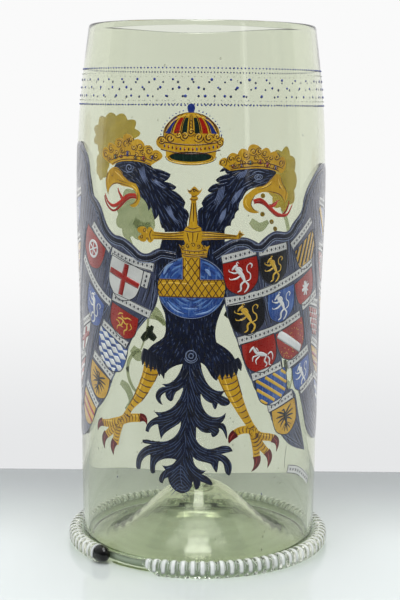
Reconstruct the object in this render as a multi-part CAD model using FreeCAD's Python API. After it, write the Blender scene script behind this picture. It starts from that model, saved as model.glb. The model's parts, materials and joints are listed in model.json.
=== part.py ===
import FreeCAD, Part
import math
import os

from FreeCAD import Vector

V2 = FreeCAD.Base.Vector2d
os.makedirs("parts", exist_ok=True)

# All sizes are in mm. The vessel stands on z = 0, its axis is the Z axis and its front faces -Y.

# The blown body: outer radii at five heights, as the base radius and how far the wall leaves it
HEIGHT = 280.0
BASE_RADIUS = 63.6
LOWER_HEIGHT = 60.0
LOWER_SWELL = 0.55
MIDDLE_HEIGHT = 120.0
MIDDLE_SWELL = 1.0
BELLY_DROP = 90.0
BELLY_SWELL = 2.7
SHOULDER_DROP = 39.0
SHOULDER_SWELL = 0.9
NECK_DROP = 24.0
NECK_PINCH = 0.7
RIM_PINCH = 3.8

# Glass thickness, and the rounded edges that the fire and the tools leave
WALL = 3.0
RIM_EDGE = 2.5
BASE_CORNER = 3.6
FLOOR_CORNER = 4.0

# Whatever lies on the outside of the wall stands off it by this much
WALL_FIT = 0.012

# The kick: the base pushed up into a cone
KICK_HEIGHT = 34.0
KICK_WALL = 3.4
BASE_RING_WIDTH = 13.0
BASE_CLEARANCE = 0.8

# The broken ring of glass that the working rod leaves under the kick
PONTIL_RADIUS = 7.0
PONTIL_WIDTH = 2.4
PONTIL_DROP = 1.3

# The crimped thread of glass round the base; its rib count is a multiple of four
TRAIL_REACH = 8.1
TRAIL_HEIGHT = 9.3
TRAIL_FLAT = 0.5
TRAIL_GROOVE = 1.3
TRAIL_RIBS = 88
TRAIL_STEPS = 4
TRAIL_START = -26.0
TRAIL_END = 312.0
TRAIL_TAPER = 9.0
KNOB_SPREAD = 7.0
KNOB_GROWTH = 0.16

# Enamel. Figures are drawn flat: u is the distance round the wall from the front, to the right,
# on a circle of DRAWING_RADIUS, and v is the height. The picture fits between two levels.
ENAMEL = 0.25
DRAWING_RADIUS = 66.0
DRAWN_FOOT = 40.0
DRAWN_TOP = 239.5
PICTURE_FOOT = 40.0
PICTURE_DROP = 40.5
CRUMB = 1.8
VOLUME_ERROR = 0.05

# The dotted band below the rim, measured down from the rim
BAND_TOP_DROP = 23.4
BAND_BOTTOM_DROP = 41.4
BAND_DOT_RADIUS = 0.5
BAND_DOTS = 202
BIG_DOT_RADIUS = 0.75
BIG_DOTS = 42
BIG_DOT_DROPS = (29.0, 32.9, 37.0)
WHITE_DOT_RADIUS = 0.35
WHITE_DOTS = 101
WHITE_DOT_DROPS = (25.9, 39.2)


# Glass

def wall_curve(offset):
    """The wall's outline in the plane x = 0, with its parameter equal to the height."""
    stations = (
        (0.0, 0.0),
        (LOWER_HEIGHT, LOWER_SWELL),
        (MIDDLE_HEIGHT, MIDDLE_SWELL),
        (HEIGHT - BELLY_DROP, BELLY_SWELL),
        (HEIGHT - SHOULDER_DROP, SHOULDER_SWELL),
        (HEIGHT - NECK_DROP, -NECK_PINCH),
        (HEIGHT, -RIM_PINCH),
    )
    curve = Part.BSplineCurve()
    curve.interpolate(
        Points=[Vector(0, BASE_RADIUS + swell + offset, z) for z, swell in stations],
        Parameters=[z for z, _ in stations],
    )
    return curve


OUTLINE = wall_curve(0.0)


def wall_radius(z):
    return OUTLINE.value(z).y


def arc(first, middle, last):
    return Part.Arc(Vector(0, *first), Vector(0, *middle), Vector(0, *last)).toShape()


def line(first, last):
    return Part.makeLine(Vector(0, *first), Vector(0, *last))


def smooth_profile(points):
    curve = Part.BSplineCurve()
    curve.interpolate([Vector(0, *point) for point in points])
    return curve.toShape()


def kick_points(drop):
    """The cone's outline from its apex to its foot, lowered by the glass thickness."""
    foot = BASE_RADIUS - BASE_RING_WIDTH
    inner_foot = BASE_CLEARANCE + KICK_WALL
    rise = KICK_HEIGHT - inner_foot
    shares = ((0.0, 1.0), (0.22, 0.93), (0.55, 0.5), (0.82, 0.13), (1.0, 0.0))
    return [(foot * out, inner_foot + rise * up - drop) for out, up in shares]


def vessel_body():
    inner = wall_curve(-WALL)
    rim_low = HEIGHT - RIM_EDGE / 2
    rim_outer = wall_radius(rim_low)
    rim_inner = inner.value(rim_low).y
    floor = BASE_CLEARANCE + KICK_WALL
    base_outer = wall_radius(BASE_CORNER + BASE_CLEARANCE)
    base_flat = base_outer - BASE_CORNER
    corner_mid = BASE_CORNER * (1 - math.sqrt(0.5))
    floor_top = floor + FLOOR_CORNER
    floor_outer = inner.value(floor_top).y
    floor_mid = FLOOR_CORNER * (1 - math.sqrt(0.5))
    above = kick_points(0.0)
    below = kick_points(KICK_WALL)
    edges = [
        OUTLINE.toShape(BASE_CORNER + BASE_CLEARANCE, rim_low),
        arc((rim_outer, rim_low), ((rim_outer + rim_inner) / 2, HEIGHT), (rim_inner, rim_low)),
        inner.toShape(floor_top, rim_low),
        arc((floor_outer, floor_top), (floor_outer - floor_mid, floor + floor_mid),
            (floor_outer - FLOOR_CORNER, floor)),
        line((floor_outer - FLOOR_CORNER, floor), above[-1]),
        smooth_profile(above),
        line(above[0], below[0]),
        smooth_profile(below),
        line(below[-1], (base_flat, BASE_CLEARANCE)),
        arc((base_flat, BASE_CLEARANCE), (base_outer - corner_mid, BASE_CLEARANCE + corner_mid),
            (base_outer, BASE_CORNER + BASE_CLEARANCE)),
    ]
    profile = Part.Face(Part.Wire(Part.__sortEdges__(edges)))
    return profile.revolve(Vector(0, 0, 0), Vector(0, 0, 1), 360)


def pontil_scar(body):
    """A rough ring standing down from the cone's underside, seated on it by a cut."""
    apex = KICK_HEIGHT - KICK_WALL
    ring = Part.makeCylinder(PONTIL_RADIUS + PONTIL_WIDTH / 2, KICK_WALL + PONTIL_DROP)
    bore = Part.makeCylinder(PONTIL_RADIUS - PONTIL_WIDTH / 2, KICK_WALL + PONTIL_DROP)
    ring = ring.cut(bore)
    ring.translate(Vector(0, 0, apex - 2 * PONTIL_DROP))
    return max(ring.cut(body).Solids, key=lambda solid: -solid.BoundBox.ZMin)


def trail_section(angle, reach, height):
    """The thread's cut at one angle: straight on the wall and on the table, round outside."""
    seat = wall_radius(TRAIL_HEIGHT / 2) + WALL_FIT
    turn = math.radians(angle)

    def point(out, up):
        radius = seat + out * reach
        return Vector(radius * math.sin(turn), -radius * math.cos(turn), up * height - TRAIL_FLAT)

    return Part.Wire([
        Part.LineSegment(point(0, 0), point(0.68, 0)).toShape(),
        Part.Arc(point(0.68, 0), point(1, 0.42), point(0.70, 0.88)).toShape(),
        Part.Arc(point(0.70, 0.88), point(0.40, 1), point(0, 0.84)).toShape(),
        Part.LineSegment(point(0, 0.84), point(0, 0)).toShape(),
    ])


def foot_trail():
    """Ribs all round, thinned where the thread starts, thickened to a knob where it ends and
    ground flat where it stands."""
    step = 360.0 / (TRAIL_RIBS * TRAIL_STEPS)
    first = math.ceil(TRAIL_START / step)
    last = math.floor(TRAIL_END / step)
    sections = []
    for index in range(first, last + 1):
        angle = index * step
        rib = math.cos(math.pi * index / TRAIL_STEPS) ** 2
        start = min(1.0, 0.35 + 0.65 * (angle - TRAIL_START) / TRAIL_TAPER)
        knob = 1.0 + KNOB_GROWTH * max(0.0, 1.0 - (TRAIL_END - angle) / KNOB_SPREAD)
        reach = (TRAIL_REACH - TRAIL_GROOVE * (1 - rib)) * start * knob
        height = (TRAIL_HEIGHT - TRAIL_GROOVE * (1 - rib)) * start * knob
        sections.append(trail_section(angle, reach, height))
    thread = Part.makeLoft(sections, True, True)
    size = 4 * BASE_RADIUS
    table = Part.makeBox(size, size, 2 * TRAIL_HEIGHT, Vector(-size / 2, -size / 2, -2 * TRAIL_HEIGHT))
    return thread.cut(table).Solids[0]


# Enamel on the wall

def level(v):
    """The height on the wall of a drawn height."""
    stretch = (HEIGHT - PICTURE_DROP - PICTURE_FOOT) / (DRAWN_TOP - DRAWN_FOOT)
    return PICTURE_FOOT + (v - DRAWN_FOOT) * stretch


def wall_surface(offset):
    """The outer wall moved out; its seam is at the back, where no figure crosses it."""
    return Part.SurfaceOfRevolution(wall_curve(offset), Vector(0, 0, 0), Vector(0, 0, 1))


GLASS_SIDE = wall_surface(WALL_FIT)
AIR_SIDE = wall_surface(WALL_FIT + ENAMEL)


def bent_edge(edge):
    """The same curve in the wall surface's own angle and height."""
    flat = edge.Curve.toBSpline(edge.FirstParameter, edge.LastParameter)
    bent = Part.Geom2d.BSplineCurve2d()
    poles = [V2(math.pi + pole.x / DRAWING_RADIUS, level(pole.y)) for pole in flat.getPoles()]
    bent.buildFromPolesMultsKnots(
        poles, flat.getMultiplicities(), flat.getKnots(), False, flat.Degree, flat.getWeights())
    return bent


def bent_solid(face):
    """A flat figure wrapped on the wall as a layer of enamel."""
    outer = face.OuterWire
    wires = [outer] + [wire for wire in face.Wires if not wire.isSame(outer)]
    glass_wires = []
    air_wires = []
    sides = []
    for wire in wires:
        curves = [bent_edge(edge) for edge in wire.OrderedEdges]
        glass_edges = [curve.toShape(GLASS_SIDE) for curve in curves]
        air_edges = [curve.toShape(AIR_SIDE) for curve in curves]
        glass_wires.append(Part.Wire(glass_edges))
        air_wires.append(Part.Wire(air_edges))
        sides += [Part.makeRuledSurface(low, high) for low, high in zip(glass_edges, air_edges)]
    glass_face = Part.Face(GLASS_SIDE, glass_wires[0])
    air_face = Part.Face(AIR_SIDE, air_wires[0])
    if len(wires) > 1:
        glass_face.cutHoles(glass_wires[1:])
        air_face.cutHoles(air_wires[1:])
    shell = Part.makeShell([glass_face, air_face] + sides)
    shell.sewShape()
    solid = Part.makeSolid(shell)
    if not solid.isValid():
        solid.fix(1e-4, 1e-4, 1e-3)
    if solid.Volume < 0:
        solid.reverse()
    middle = face.CenterOfMass
    stretch_up = level(1.0) - level(0.0)
    stretch_round = wall_radius(level(middle.y)) / DRAWING_RADIUS
    expected = face.Area * ENAMEL * stretch_up * stretch_round
    if not solid.isValid() or abs(solid.Volume / expected - 1) > VOLUME_ERROR:
        raise ValueError(f"enamel layer of {face.Area:.2f} mm2 near {middle} is not sound")
    return solid


def figure(runs):
    """A closed flat figure. Each run goes on from the last point of the run before it:
    one point is a straight edge to that point, more points are one smooth edge."""
    start = runs[-1][-1]
    edges = []
    for run in runs:
        points = [Vector(u, v, 0) for u, v in [start] + run]
        if len(points) == 2:
            edges.append(Part.makeLine(*points))
        else:
            curve = Part.BSplineCurve()
            curve.interpolate(points)
            edges.append(curve.toShape())
        start = run[-1]
    face = Part.Face(Part.Wire(edges))
    if face.normalAt(0, 0).z < 0:
        face.reverse()
    return face


def ellipse(u, v, half_width, half_height):
    if half_width >= half_height:
        curve = Part.Ellipse(Vector(u, v, 0), half_width, half_height)
    else:
        curve = Part.Ellipse(Vector(u, v + half_height, 0), Vector(u - half_width, v, 0), Vector(u, v, 0))
    return Part.Face(Part.Wire(curve.toShape()))


def strip(points, width, end_width=None):
    """A band along a line of points, straight cut at its ends."""
    end_width = width if end_width is None else end_width
    left = []
    right = []
    for index, (u, v) in enumerate(points):
        before = points[max(index - 1, 0)]
        after = points[min(index + 1, len(points) - 1)]
        run = math.hypot(after[0] - before[0], after[1] - before[1])
        across = ((before[1] - after[1]) / run, (after[0] - before[0]) / run)
        half = (width + (end_width - width) * index / (len(points) - 1)) / 2
        left.append((u + across[0] * half, v + across[1] * half))
        right.append((u - across[0] * half, v - across[1] * half))
    return figure([left[1:], [right[-1]], right[-2::-1], [left[0]]])


def joined(faces):
    return faces[0].multiFuse(faces[1:]).removeSplitter()


def mosaic(layers):
    """Cut each figure back by those painted over it and bend what is left on the wall."""
    pieces = {}
    for index, (node, flat) in enumerate(layers):
        above = [other for _, other in layers[index + 1:] if flat.BoundBox.intersect(other.BoundBox)]
        visible = flat.cut(above) if above else flat
        fields = [bent_solid(face) for face in visible.Faces if face.Area > CRUMB]
        pieces.setdefault(node, []).extend(fields)
    return pieces


# The eagle

def tail():
    return figure([
        [(-10.5, 105.5), (-14, 101.2), (-19.6, 99.6)],
        [(-17.3, 98.2)],
        [(-21, 97), (-22.9, 93.3), (-21.4, 90), (-19, 88.9)],
        [(-20.2, 92.4), (-17.4, 95.4)],
        [(-16.4, 91.9), (-14.9, 91), (-13.3, 92.4)],
        [(-12, 95.6), (-8.2, 98.2)],
        [(-10.6, 91.8), (-15, 87), (-19, 85.2), (-23.7, 85)],
        [(-21.3, 82.7)],
        [(-25, 80.8), (-27.8, 77.6), (-28.6, 74.4)],
        [(-26.9, 74)],
        [(-25, 77.2), (-21.6, 78.6)],
        [(-20.9, 75), (-19.8, 71)],
        [(-17.8, 74.2), (-13.6, 77.4), (-9.4, 80.8)],
        [(-11, 74.8), (-16, 70.6), (-23, 69.7), (-30.3, 69.8)],
        [(-30.4, 68.2)],
        [(-25.2, 67.7)],
        [(-31.2, 64.2), (-34, 59), (-33.5, 54), (-31.6, 54.4)],
        [(-30.4, 59), (-26, 62.4)],
        [(-26, 57), (-24.9, 52.7), (-22.9, 53.4)],
        [(-22, 58.6), (-17.6, 61), (-11.6, 60.9)],
        [(-14, 58.2), (-19.2, 57.4)],
        [(-17.4, 55.2)],
        [(-20, 52.6), (-20.7, 49), (-18.8, 48)],
        [(-17.8, 50.4), (-15.9, 51.4)],
        [(-15.4, 49), (-12.8, 45.4), (-7.6, 43.6), (-4.2, 45.8), (-3.4, 48.6)],
        [(-2.8, 50.2)],
        [(-2.2, 47.8)],
        [(-0.6, 45.8), (0.6, 47.2), (0.8, 50)],
        [(4.4, 48.6), (6.9, 48), (6.2, 51)],
        [(3.4, 53), (1.6, 53.6)],
        [(4.1, 55.5)],
        [(0, 56.6), (-3, 62.8)],
        [(-0.6, 61), (3.4, 59.9), (6.4, 58.9)],
        [(8, 56.2), (9.3, 54.6), (10.2, 58), (10.8, 60.6)],
        [(13.4, 57.6), (14.4, 54), (16, 52.7), (17.5, 55.6), (16.2, 60.8), (11.6, 64)],
        [(17.9, 65.2)],
        [(15, 68.2), (10.4, 67.8), (5.8, 66.8), (1.2, 68.6), (-1.4, 72.4)],
        [(-1.3, 78.8)],
        [(1, 76.2), (6.4, 75.2)],
        [(7.6, 73), (9, 73.6), (10.2, 77.4)],
        [(13, 75.2), (14.6, 71.8), (14.6, 76), (11.4, 80)],
        [(13.4, 82.6), (13.9, 85.3)],
        [(10, 83.2), (5.4, 84.2), (2, 88.4), (0.9, 95.4)],
        [(3.4, 92), (6.6, 90.4)],
        [(8.3, 87.3), (9.8, 90.8)],
        [(12.6, 88.9), (15.3, 89.4), (11.6, 94.3)],
        [(13.4, 96.9)],
        [(7.4, 97.6), (3.4, 102), (0.7, 111.2)],
        [(-8.4, 111.2)],
    ])


def breast():
    return figure([
        [(-17.4, 129), (-18.6, 123.6), (-23.6, 120), (-27.9, 115.7), (-30.6, 111)],
        [(-27.4, 111.6), (-25.2, 108)],
        [(-23.4, 108.8), (-22.2, 110.2)],
        [(-21.2, 106), (-18.9, 103.4)],
        [(-17, 106), (-9.3, 110.2)],
        [(0.7, 111.2)],
        [(4.4, 107.4), (7, 103.4), (9, 102)],
        [(12, 104.4), (15, 103.5)],
        [(16.2, 106), (16.6, 108.6)],
        [(18, 107), (20.1, 107)],
        [(18.6, 112.4), (15.4, 116.8), (12.6, 119), (8.6, 121.6)],
        [(8, 127), (9.3, 133.6), (12.4, 141)],
        [(13.6, 154), (12.4, 166)],
        [(11.8, 177)],
        [(-17.9, 176.5)],
        [(-21, 166), (-22.6, 152)],
        [(-20.8, 143), (-17.9, 135.7)],
    ])


def head_left():
    return figure([
        [(-23.9, 207.7)],
        [(-19, 206.8), (-15, 205)],
        [(-16, 202.8), (-18.2, 201.3)],
        [(-15, 200.6), (-12, 198.8)],
        [(-13, 197.6), (-14.5, 197.4)],
        [(-10.4, 195), (-7.5, 191.3)],
        [(-8.4, 188.6)],
        [(-6.4, 187), (-5.7, 184.3)],
        [(-6.6, 181), (-6, 177)],
        [(-17.9, 176.5)],
        [(-18.2, 178), (-19.3, 178.4)],
        [(-20.4, 182), (-21.1, 185.6)],
        [(-22, 183.4), (-23.2, 182.4)],
        [(-24.2, 186), (-25, 189.9)],
        [(-25.6, 187.6), (-26.4, 186.6)],
        [(-27.8, 190.8), (-30.7, 193.4)],
        [(-34.4, 197.4), (-41, 200.4), (-46, 203), (-47.1, 207.7)],
        [(-42.1, 212), (-37.1, 213.1), (-32.1, 212.7), (-27.4, 210.8), (-25.2, 208.8)],
    ])


def head_right():
    return figure([
        [(9.3, 206.4), (11.6, 207)],
        [(12.4, 205.6), (13.9, 204.9)],
        [(10.2, 204.6), (7.1, 202.5)],
        [(8, 201.4), (9.3, 200.9)],
        [(5.6, 200), (3.2, 197.4)],
        [(4.2, 196.4), (5.7, 196.3)],
        [(2.2, 194.2), (0.3, 191)],
        [(1, 189.4)],
        [(-1, 188), (-1.5, 185.6)],
        [(-1.4, 181), (-1.1, 177)],
        [(11.8, 177)],
        [(12.6, 179.4), (15, 179.9)],
        [(15.2, 182.2), (16.8, 183.8)],
        [(17.2, 186.2), (18.9, 187.7)],
        [(19, 190.8), (20.7, 193.4)],
        [(24, 197.6), (32, 199.4), (38.9, 203)],
        [(38.6, 207), (34, 209.6), (26, 210), (21.4, 207.9)],
        [(17, 208.4), (12.6, 210)],
    ])


def beak_left():
    """Upper and lower half as one figure, open at the mouth."""
    return figure([
        [(-51.4, 204.9), (-53, 201), (-52.6, 197), (-51.4, 193.6)],
        [(-50.4, 196.8), (-47.1, 199), (-43.6, 199.2)],
        [(-39.6, 198.2), (-35, 197.2), (-33, 193.6)],
        [(-34, 191), (-37.1, 189)],
        [(-33.6, 188.4), (-31.6, 190.6), (-31.4, 195.6), (-33.6, 199.9)],
        [(-38, 201.4), (-41.4, 204.4)],
        [(-43.6, 206.8), (-47.1, 207.6)],
    ])


def beak_right():
    return figure([
        [(42.1, 203.8), (42.9, 200.6), (46.1, 196.4), (45, 190.4)],
        [(42.6, 193.8), (38.6, 195.3), (33.6, 196.2)],
        [(29, 195.6), (25.9, 193.1), (25.4, 190.4), (26.8, 188.1), (29.8, 186.4)],
        [(25, 186.3), (21.4, 189.1), (21.1, 192.7), (23.6, 195.8)],
        [(27.4, 198.4), (32.6, 199.6)],
        [(35.6, 202.4), (38.9, 205.1)],
    ])


def tongue(root, fork, side):
    """A curling strip with a second tip; side is the way that it points."""
    long_tip = strip([(root[0], root[1]), (root[0] + side * 4.6, root[1] - 0.4),
                      (root[0] + side * 9.2, root[1] - 4), (root[0] + side * 15, root[1] - 7.4),
                      (root[0] + side * 19.4, root[1] - 4.6), (root[0] + side * 21.2, root[1] - 0.2)],
                     1.9, 0.5)
    short_tip = strip([(root[0] + side * 8.4, root[1] - 3), fork[0], fork[1]], 1.5, 0.4)
    return joined([long_tip, short_tip])


def crown_of_left_head():
    return figure([
        [(-50.2, 209.4), (-54.3, 211.4)],
        [(-56, 213.2), (-55.2, 216.6), (-52, 216.4)],
        [(-50.6, 219.6), (-47.9, 219), (-46, 217.8)],
        [(-46.2, 221.4), (-43, 222), (-41.4, 221)],
        [(-40.4, 224), (-37, 223.6), (-35.4, 220.8)],
        [(-32.8, 221.8), (-30, 220.6), (-28.8, 218.6)],
        [(-25.6, 218.6), (-24, 216.2)],
        [(-20.8, 216), (-19.2, 213.6), (-21.4, 211.4), (-25.2, 208.8)],
        [(-31, 210.6), (-37, 210.9), (-43, 210.4), (-48.2, 208.4)],
    ])


def crown_of_right_head():
    return figure([
        [(10.4, 209.1)],
        [(8.6, 211), (10.2, 213), (13, 212.6)],
        [(14.4, 215.4), (17.9, 214.9)],
        [(20, 217.6), (23.4, 216.6)],
        [(25, 219.6), (29.3, 218.8), (30.8, 216.8)],
        [(34, 218), (36, 215.6)],
        [(39.4, 216), (41, 213)],
        [(44.4, 213), (45.4, 209.6), (44.3, 206.6), (41.1, 205.6)],
        [(36, 207.2), (29, 208), (20, 207.6), (14, 207)],
    ])


def leg_left():
    shank = figure([
        [(-30.7, 103.6), (-33.2, 97.1), (-36.2, 91.2), (-40.5, 84.5), (-44.6, 79)],
        [(-38.6, 80)],
        [(-35.4, 85.8), (-30.7, 89.8), (-26.4, 95.7), (-22.9, 101.4), (-19.6, 109.6)],
        [(-24, 113)],
        [(-29.4, 111.4)],
    ])
    hind = strip([(-46, 76.6), (-40, 79.6), (-35, 80.6), (-30.6, 81)], 4.8, 4.2)
    outer = strip([(-44, 77.6), (-50, 76), (-55, 74.8), (-60.4, 74.6)], 5, 3.6)
    middle = strip([(-45.4, 77), (-50.4, 72.6), (-55.6, 68.4)], 5.4, 3.8)
    inner = strip([(-44.4, 78.4), (-46.8, 72), (-48.4, 65)], 5.4, 4.2)
    return joined([shank, hind, outer, middle, inner])


def leg_right():
    shank = figure([
        [(13.6, 95), (17.6, 88.8), (22.1, 82.1), (27.4, 75.4)],
        [(32, 75.4)],
        [(28.4, 80.4), (24.8, 88), (22.3, 95), (20.7, 100), (18.9, 107.6)],
        [(12, 108)],
        [(9, 104.6)],
    ])
    hind = strip([(31, 74), (25, 76), (21, 75.4), (17.6, 73.4)], 4.4, 3.6)
    outer = strip([(28.6, 76), (33.4, 71.8), (38, 70.8), (43.2, 69)], 4.8, 3.6)
    middle = strip([(28.6, 76), (32.4, 69), (39.4, 61.6)], 4.8, 3.8)
    inner = strip([(29, 75), (30.8, 68), (31.6, 60)], 4.8, 3.8)
    return joined([shank, hind, outer, middle, inner])


def claw(root, belly, tip, width):
    """A hooked nail: wide at the toe, pointed at its tip."""
    along = (belly[0] - root[0], belly[1] - root[1])
    length = math.hypot(*along)
    across = (-along[1] / length * width / 2, along[0] / length * width / 2)
    return figure([
        [(root[0] + across[0], root[1] + across[1])],
        [(belly[0] + across[0] * 0.8, belly[1] + across[1] * 0.8), tip],
        [(belly[0] - across[0] * 0.8, belly[1] - across[1] * 0.8),
         (root[0] - across[0], root[1] - across[1])],
        [root],
    ])


CLAWS_LEFT = (
    ((-32, 81), (-29.2, 81), (-27.8, 77.4)),
    ((-58.8, 74.8), (-61.6, 73.6), (-63.8, 69.4)),
    ((-55.4, 69), (-57.8, 66), (-57, 60.8)),
    ((-48.6, 66.4), (-50.4, 63.4), (-49.8, 58.8)),
)
CLAWS_RIGHT = (
    ((19.4, 74.4), (17, 72.6), (15.8, 69.2)),
    ((41.6, 69.6), (44.6, 67.6), (44.3, 62.2)),
    ((37.8, 63.2), (39.8, 60), (38.4, 54.4)),
    ((31.6, 61.4), (32, 57.8), (28.6, 53.6)),
)
CLAW_WIDTH = 4.6


# The wings

def wing_left():
    return figure([
        [(-15.7, 168.8), (-20.7, 168.4), (-25.7, 165.9)],
        [(-30, 165.6), (-35, 169.1), (-40.7, 172.4), (-46.4, 173.4)],
        [(-50, 175.6), (-53.6, 179.9), (-56.4, 185.6), (-60.7, 190.6)],
        [(-64.3, 193.4), (-67.1, 201.3), (-68.6, 208.4), (-73.6, 214.9)],
        [(-82, 219), (-94, 218), (-104, 213)],
        [(-114, 207), (-122, 196), (-128, 182), (-132, 164), (-134, 146)],
        [(-135.6, 132), (-131, 118)],
        [(-131.6, 106), (-125, 96)],
        [(-124, 86), (-115, 78)],
        [(-110, 70), (-101, 69)],
        [(-94, 61), (-85.9, 62.7)],
        [(-76.8, 66.4), (-67.7, 75.5), (-64.1, 80.9)],
        [(-59.5, 84.5), (-54.1, 90.9), (-50.5, 98.2), (-46, 105.4), (-39.5, 114.8)],
        [(-38.2, 118.2), (-31.4, 128.2), (-25, 135.5), (-22, 150)],
        [(-19, 160), (-10.7, 165.6)],
    ])


def wing_right():
    return figure([
        [(7.9, 169.9), (15, 173.1), (22.1, 174.1), (26.4, 172.7), (30, 170.9)],
        [(35.7, 175.2), (40, 176.6), (45.7, 175.9), (49.3, 177)],
        [(52.9, 181.3), (56.4, 184.1), (59.3, 190.6)],
        [(62, 196), (67.9, 202), (74.3, 206.3), (84, 209), (96, 207), (106, 202)],
        [(116, 195), (124, 184), (130, 168), (133, 150)],
        [(134.6, 136), (130, 122)],
        [(130.6, 110), (123, 99)],
        [(122, 88), (113, 82)],
        [(109, 73), (98, 71)],
        [(92, 62), (80, 63.4)],
        [(70, 72), (66, 82), (61.4, 92), (55.4, 103), (49.4, 112), (45.6, 121)],
        [(46.6, 112), (47.4, 107), (52, 94.4)],
        [(57.4, 92), (60.6, 84), (63.4, 75), (66.6, 66.4), (69.4, 58.6)],
        [(62.7, 60.7), (55, 64), (47.3, 70.8), (40.6, 79.4)],
        [(38.7, 84.2), (33.8, 91), (28.1, 100.6)],
        [(24.2, 108.3), (19.4, 121.7), (14.6, 133.3), (12.2, 141.9)],
        [(9.6, 155), (4.6, 165.6)],
    ])


def shield(top_left, top_right, foot):
    """A heater shield set by its two top corners and its lowest point."""
    middle = ((top_left[0] + top_right[0]) / 2, (top_left[1] + top_right[1]) / 2)
    half = ((top_right[0] - top_left[0]) / 2, (top_right[1] - top_left[1]) / 2)
    down = (foot[0] - middle[0], foot[1] - middle[1])

    def place(across, along):
        return (middle[0] + half[0] * across + down[0] * along,
                middle[1] + half[1] * across + down[1] * along)

    lower = [place(1.02, 0.42), place(0.8, 0.78), foot, place(-0.8, 0.78), place(-1.02, 0.42),
             place(-1, 0)]
    return figure([lower, [place(1, 0)]])


# Each shield: field colour, top left corner, top right corner, lowest point
SHIELDS = (
    ("white", (-48.6, 164.2), (-29.2, 156.6), (-44.6, 140.8)),
    ("red", (-49.6, 139.2), (-32.4, 132), (-44.4, 121.4)),
    ("blue", (-59.6, 126.2), (-39.4, 115.4), (-54.4, 104)),
    ("gold", (-69.4, 106.6), (-52.4, 98), (-65.4, 87.6)),
    ("gold", (-79.6, 90.4), (-65.6, 80.8), (-79.4, 71.6)),
    ("red", (-70.2, 177.6), (-53.4, 166.2), (-69.4, 156.2)),
    ("blue", (-70.6, 147.6), (-55.8, 136.6), (-69.6, 125.8)),
    ("red", (10.9, 161.1), (29, 164.8), (22.4, 145.2)),
    ("black", (30.8, 163.6), (47, 166.9), (40.4, 149.8)),
    ("gold", (53.6, 165.4), (69.4, 175.8), (67.6, 157)),
    ("black", (14, 140.3), (32.8, 143.8), (26.8, 124.6)),
    ("blue", (35.8, 144.3), (53.8, 149), (46.6, 129.8)),
    ("red", (54.4, 148.4), (70.6, 156.2), (67.4, 137.4)),
    ("red", (21.6, 119.8), (40.8, 124.6), (35.2, 105)),
    ("red", (41.8, 123.8), (62.4, 131.2), (57.4, 109.8)),
    ("blue", (29.9, 101), (49.2, 106.2), (43, 87.4)),
    ("blue", (55, 104.6), (71.4, 110.4), (66, 92)),
    ("gold", (40.4, 83.8), (57.6, 89), (52.6, 70.6)),
)

# Shields on the flanks, laid in the outer quills: colour, middle of the top edge, quill lean
FLANK_SHIELDS = (
    ("white", (-76.6, 123.6), 0.42),
    ("red", (-85.6, 103.4), 0.45),
    ("blue", (-94.6, 84.4), 0.45),
    ("blue", (-87, 190), 0.22),
    ("gold", (-90, 165.4), 0.25),
    ("red", (-94.6, 142), 0.32),
    ("white", (-100.8, 119.4), 0.4),
    ("black", (-108.6, 98), 0.42),
    ("red", (-104.6, 188), 0.25),
    ("black", (-108.6, 164), 0.3),
    ("white", (-113.6, 141.4), 0.35),
    ("gold", (-120, 120), 0.4),
    ("blue", (-119.4, 170), 0.3),
    ("red", (-125.6, 148.6), 0.3),
    ("white", (76.4, 134.2), -0.25),
    ("gold", (81, 112), -0.4),
    ("blue", (87, 92.4), -0.45),
    ("blue", (84.6, 186), -0.22),
    ("red", (86.6, 162), -0.25),
    ("black", (92.4, 139.6), -0.32),
    ("red", (98.4, 118), -0.4),
    ("white", (105.6, 98.6), -0.42),
    ("gold", (102.4, 184.4), -0.25),
    ("white", (105.6, 161), -0.3),
    ("blue", (111.4, 139), -0.35),
    ("red", (118, 119.6), -0.4),
    ("black", (118.4, 168), -0.3),
    ("gold", (124, 147), -0.3),
)
FLANK_WIDTH = 14.0
FLANK_DEPTH = 16.5
RIBBON = 4.4
RIBBON_LIFT = 2.7


def flank_corners(top, lean):
    """The corners of a flank shield, tilted with its quill."""
    length = math.hypot(1, lean)
    across = (FLANK_WIDTH / 2 / length, FLANK_WIDTH / 2 * -lean / length)
    down = (-FLANK_DEPTH * lean / length, -FLANK_DEPTH / length)
    return ((top[0] - across[0], top[1] + across[1]),
            (top[0] + across[0], top[1] - across[1]),
            (top[0] + down[0], top[1] + down[1]))


RIBBONS_LEFT = (
    ((-65, 178), (-57, 170.8), (-50, 165.8)),
    ((-49.4, 165.6), (-38, 161.6), (-23.6, 158.6)),
    ((-27, 156.2), (-29.4, 148)),
    ((-77, 160), (-66, 148.6), (-57, 141.6), (-50.8, 138.4)),
    ((-49.6, 142), (-38, 138.9), (-25.6, 134.4)),
    ((-58, 127.4), (-49, 122.8), (-39.8, 117.2)),
    ((-67.6, 109.8), (-58, 104.6), (-50.4, 99.4)),
    ((-77.4, 93.2), (-70, 87.4), (-63.6, 82)),
)
RIBBONS_RIGHT = (
    ((10.4, 163.2), (28.4, 167.3)),
    ((29.8, 166.2), (47.5, 168.8)),
    ((50.8, 168.2), (58.8, 174), (67.8, 181)),
    ((12.6, 142), (32.5, 145.6), (46, 150), (58, 154.2), (71, 158.6)),
    ((19.6, 121.8), (40.5, 126.4), (60.4, 132.6)),
    ((62, 135.8), (79, 142)),
    ((27.8, 102.6), (46.6, 107.6)),
    ((51.2, 106.6), (60, 109.6), (70.6, 113.6)),
    ((38, 85.4), (56, 91.2)),
    ((63, 91.4), (79, 97.4)),
    ((53, 51.6), (63, 48.6), (75, 40.6)),
)


# The crowns, the orb and the cross

DOME_MIDDLE = -5.2
DOME_FOOT = 222.4
DOME_RISE = 12.6
DOME_HALF_WIDTH = 13.9


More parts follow.
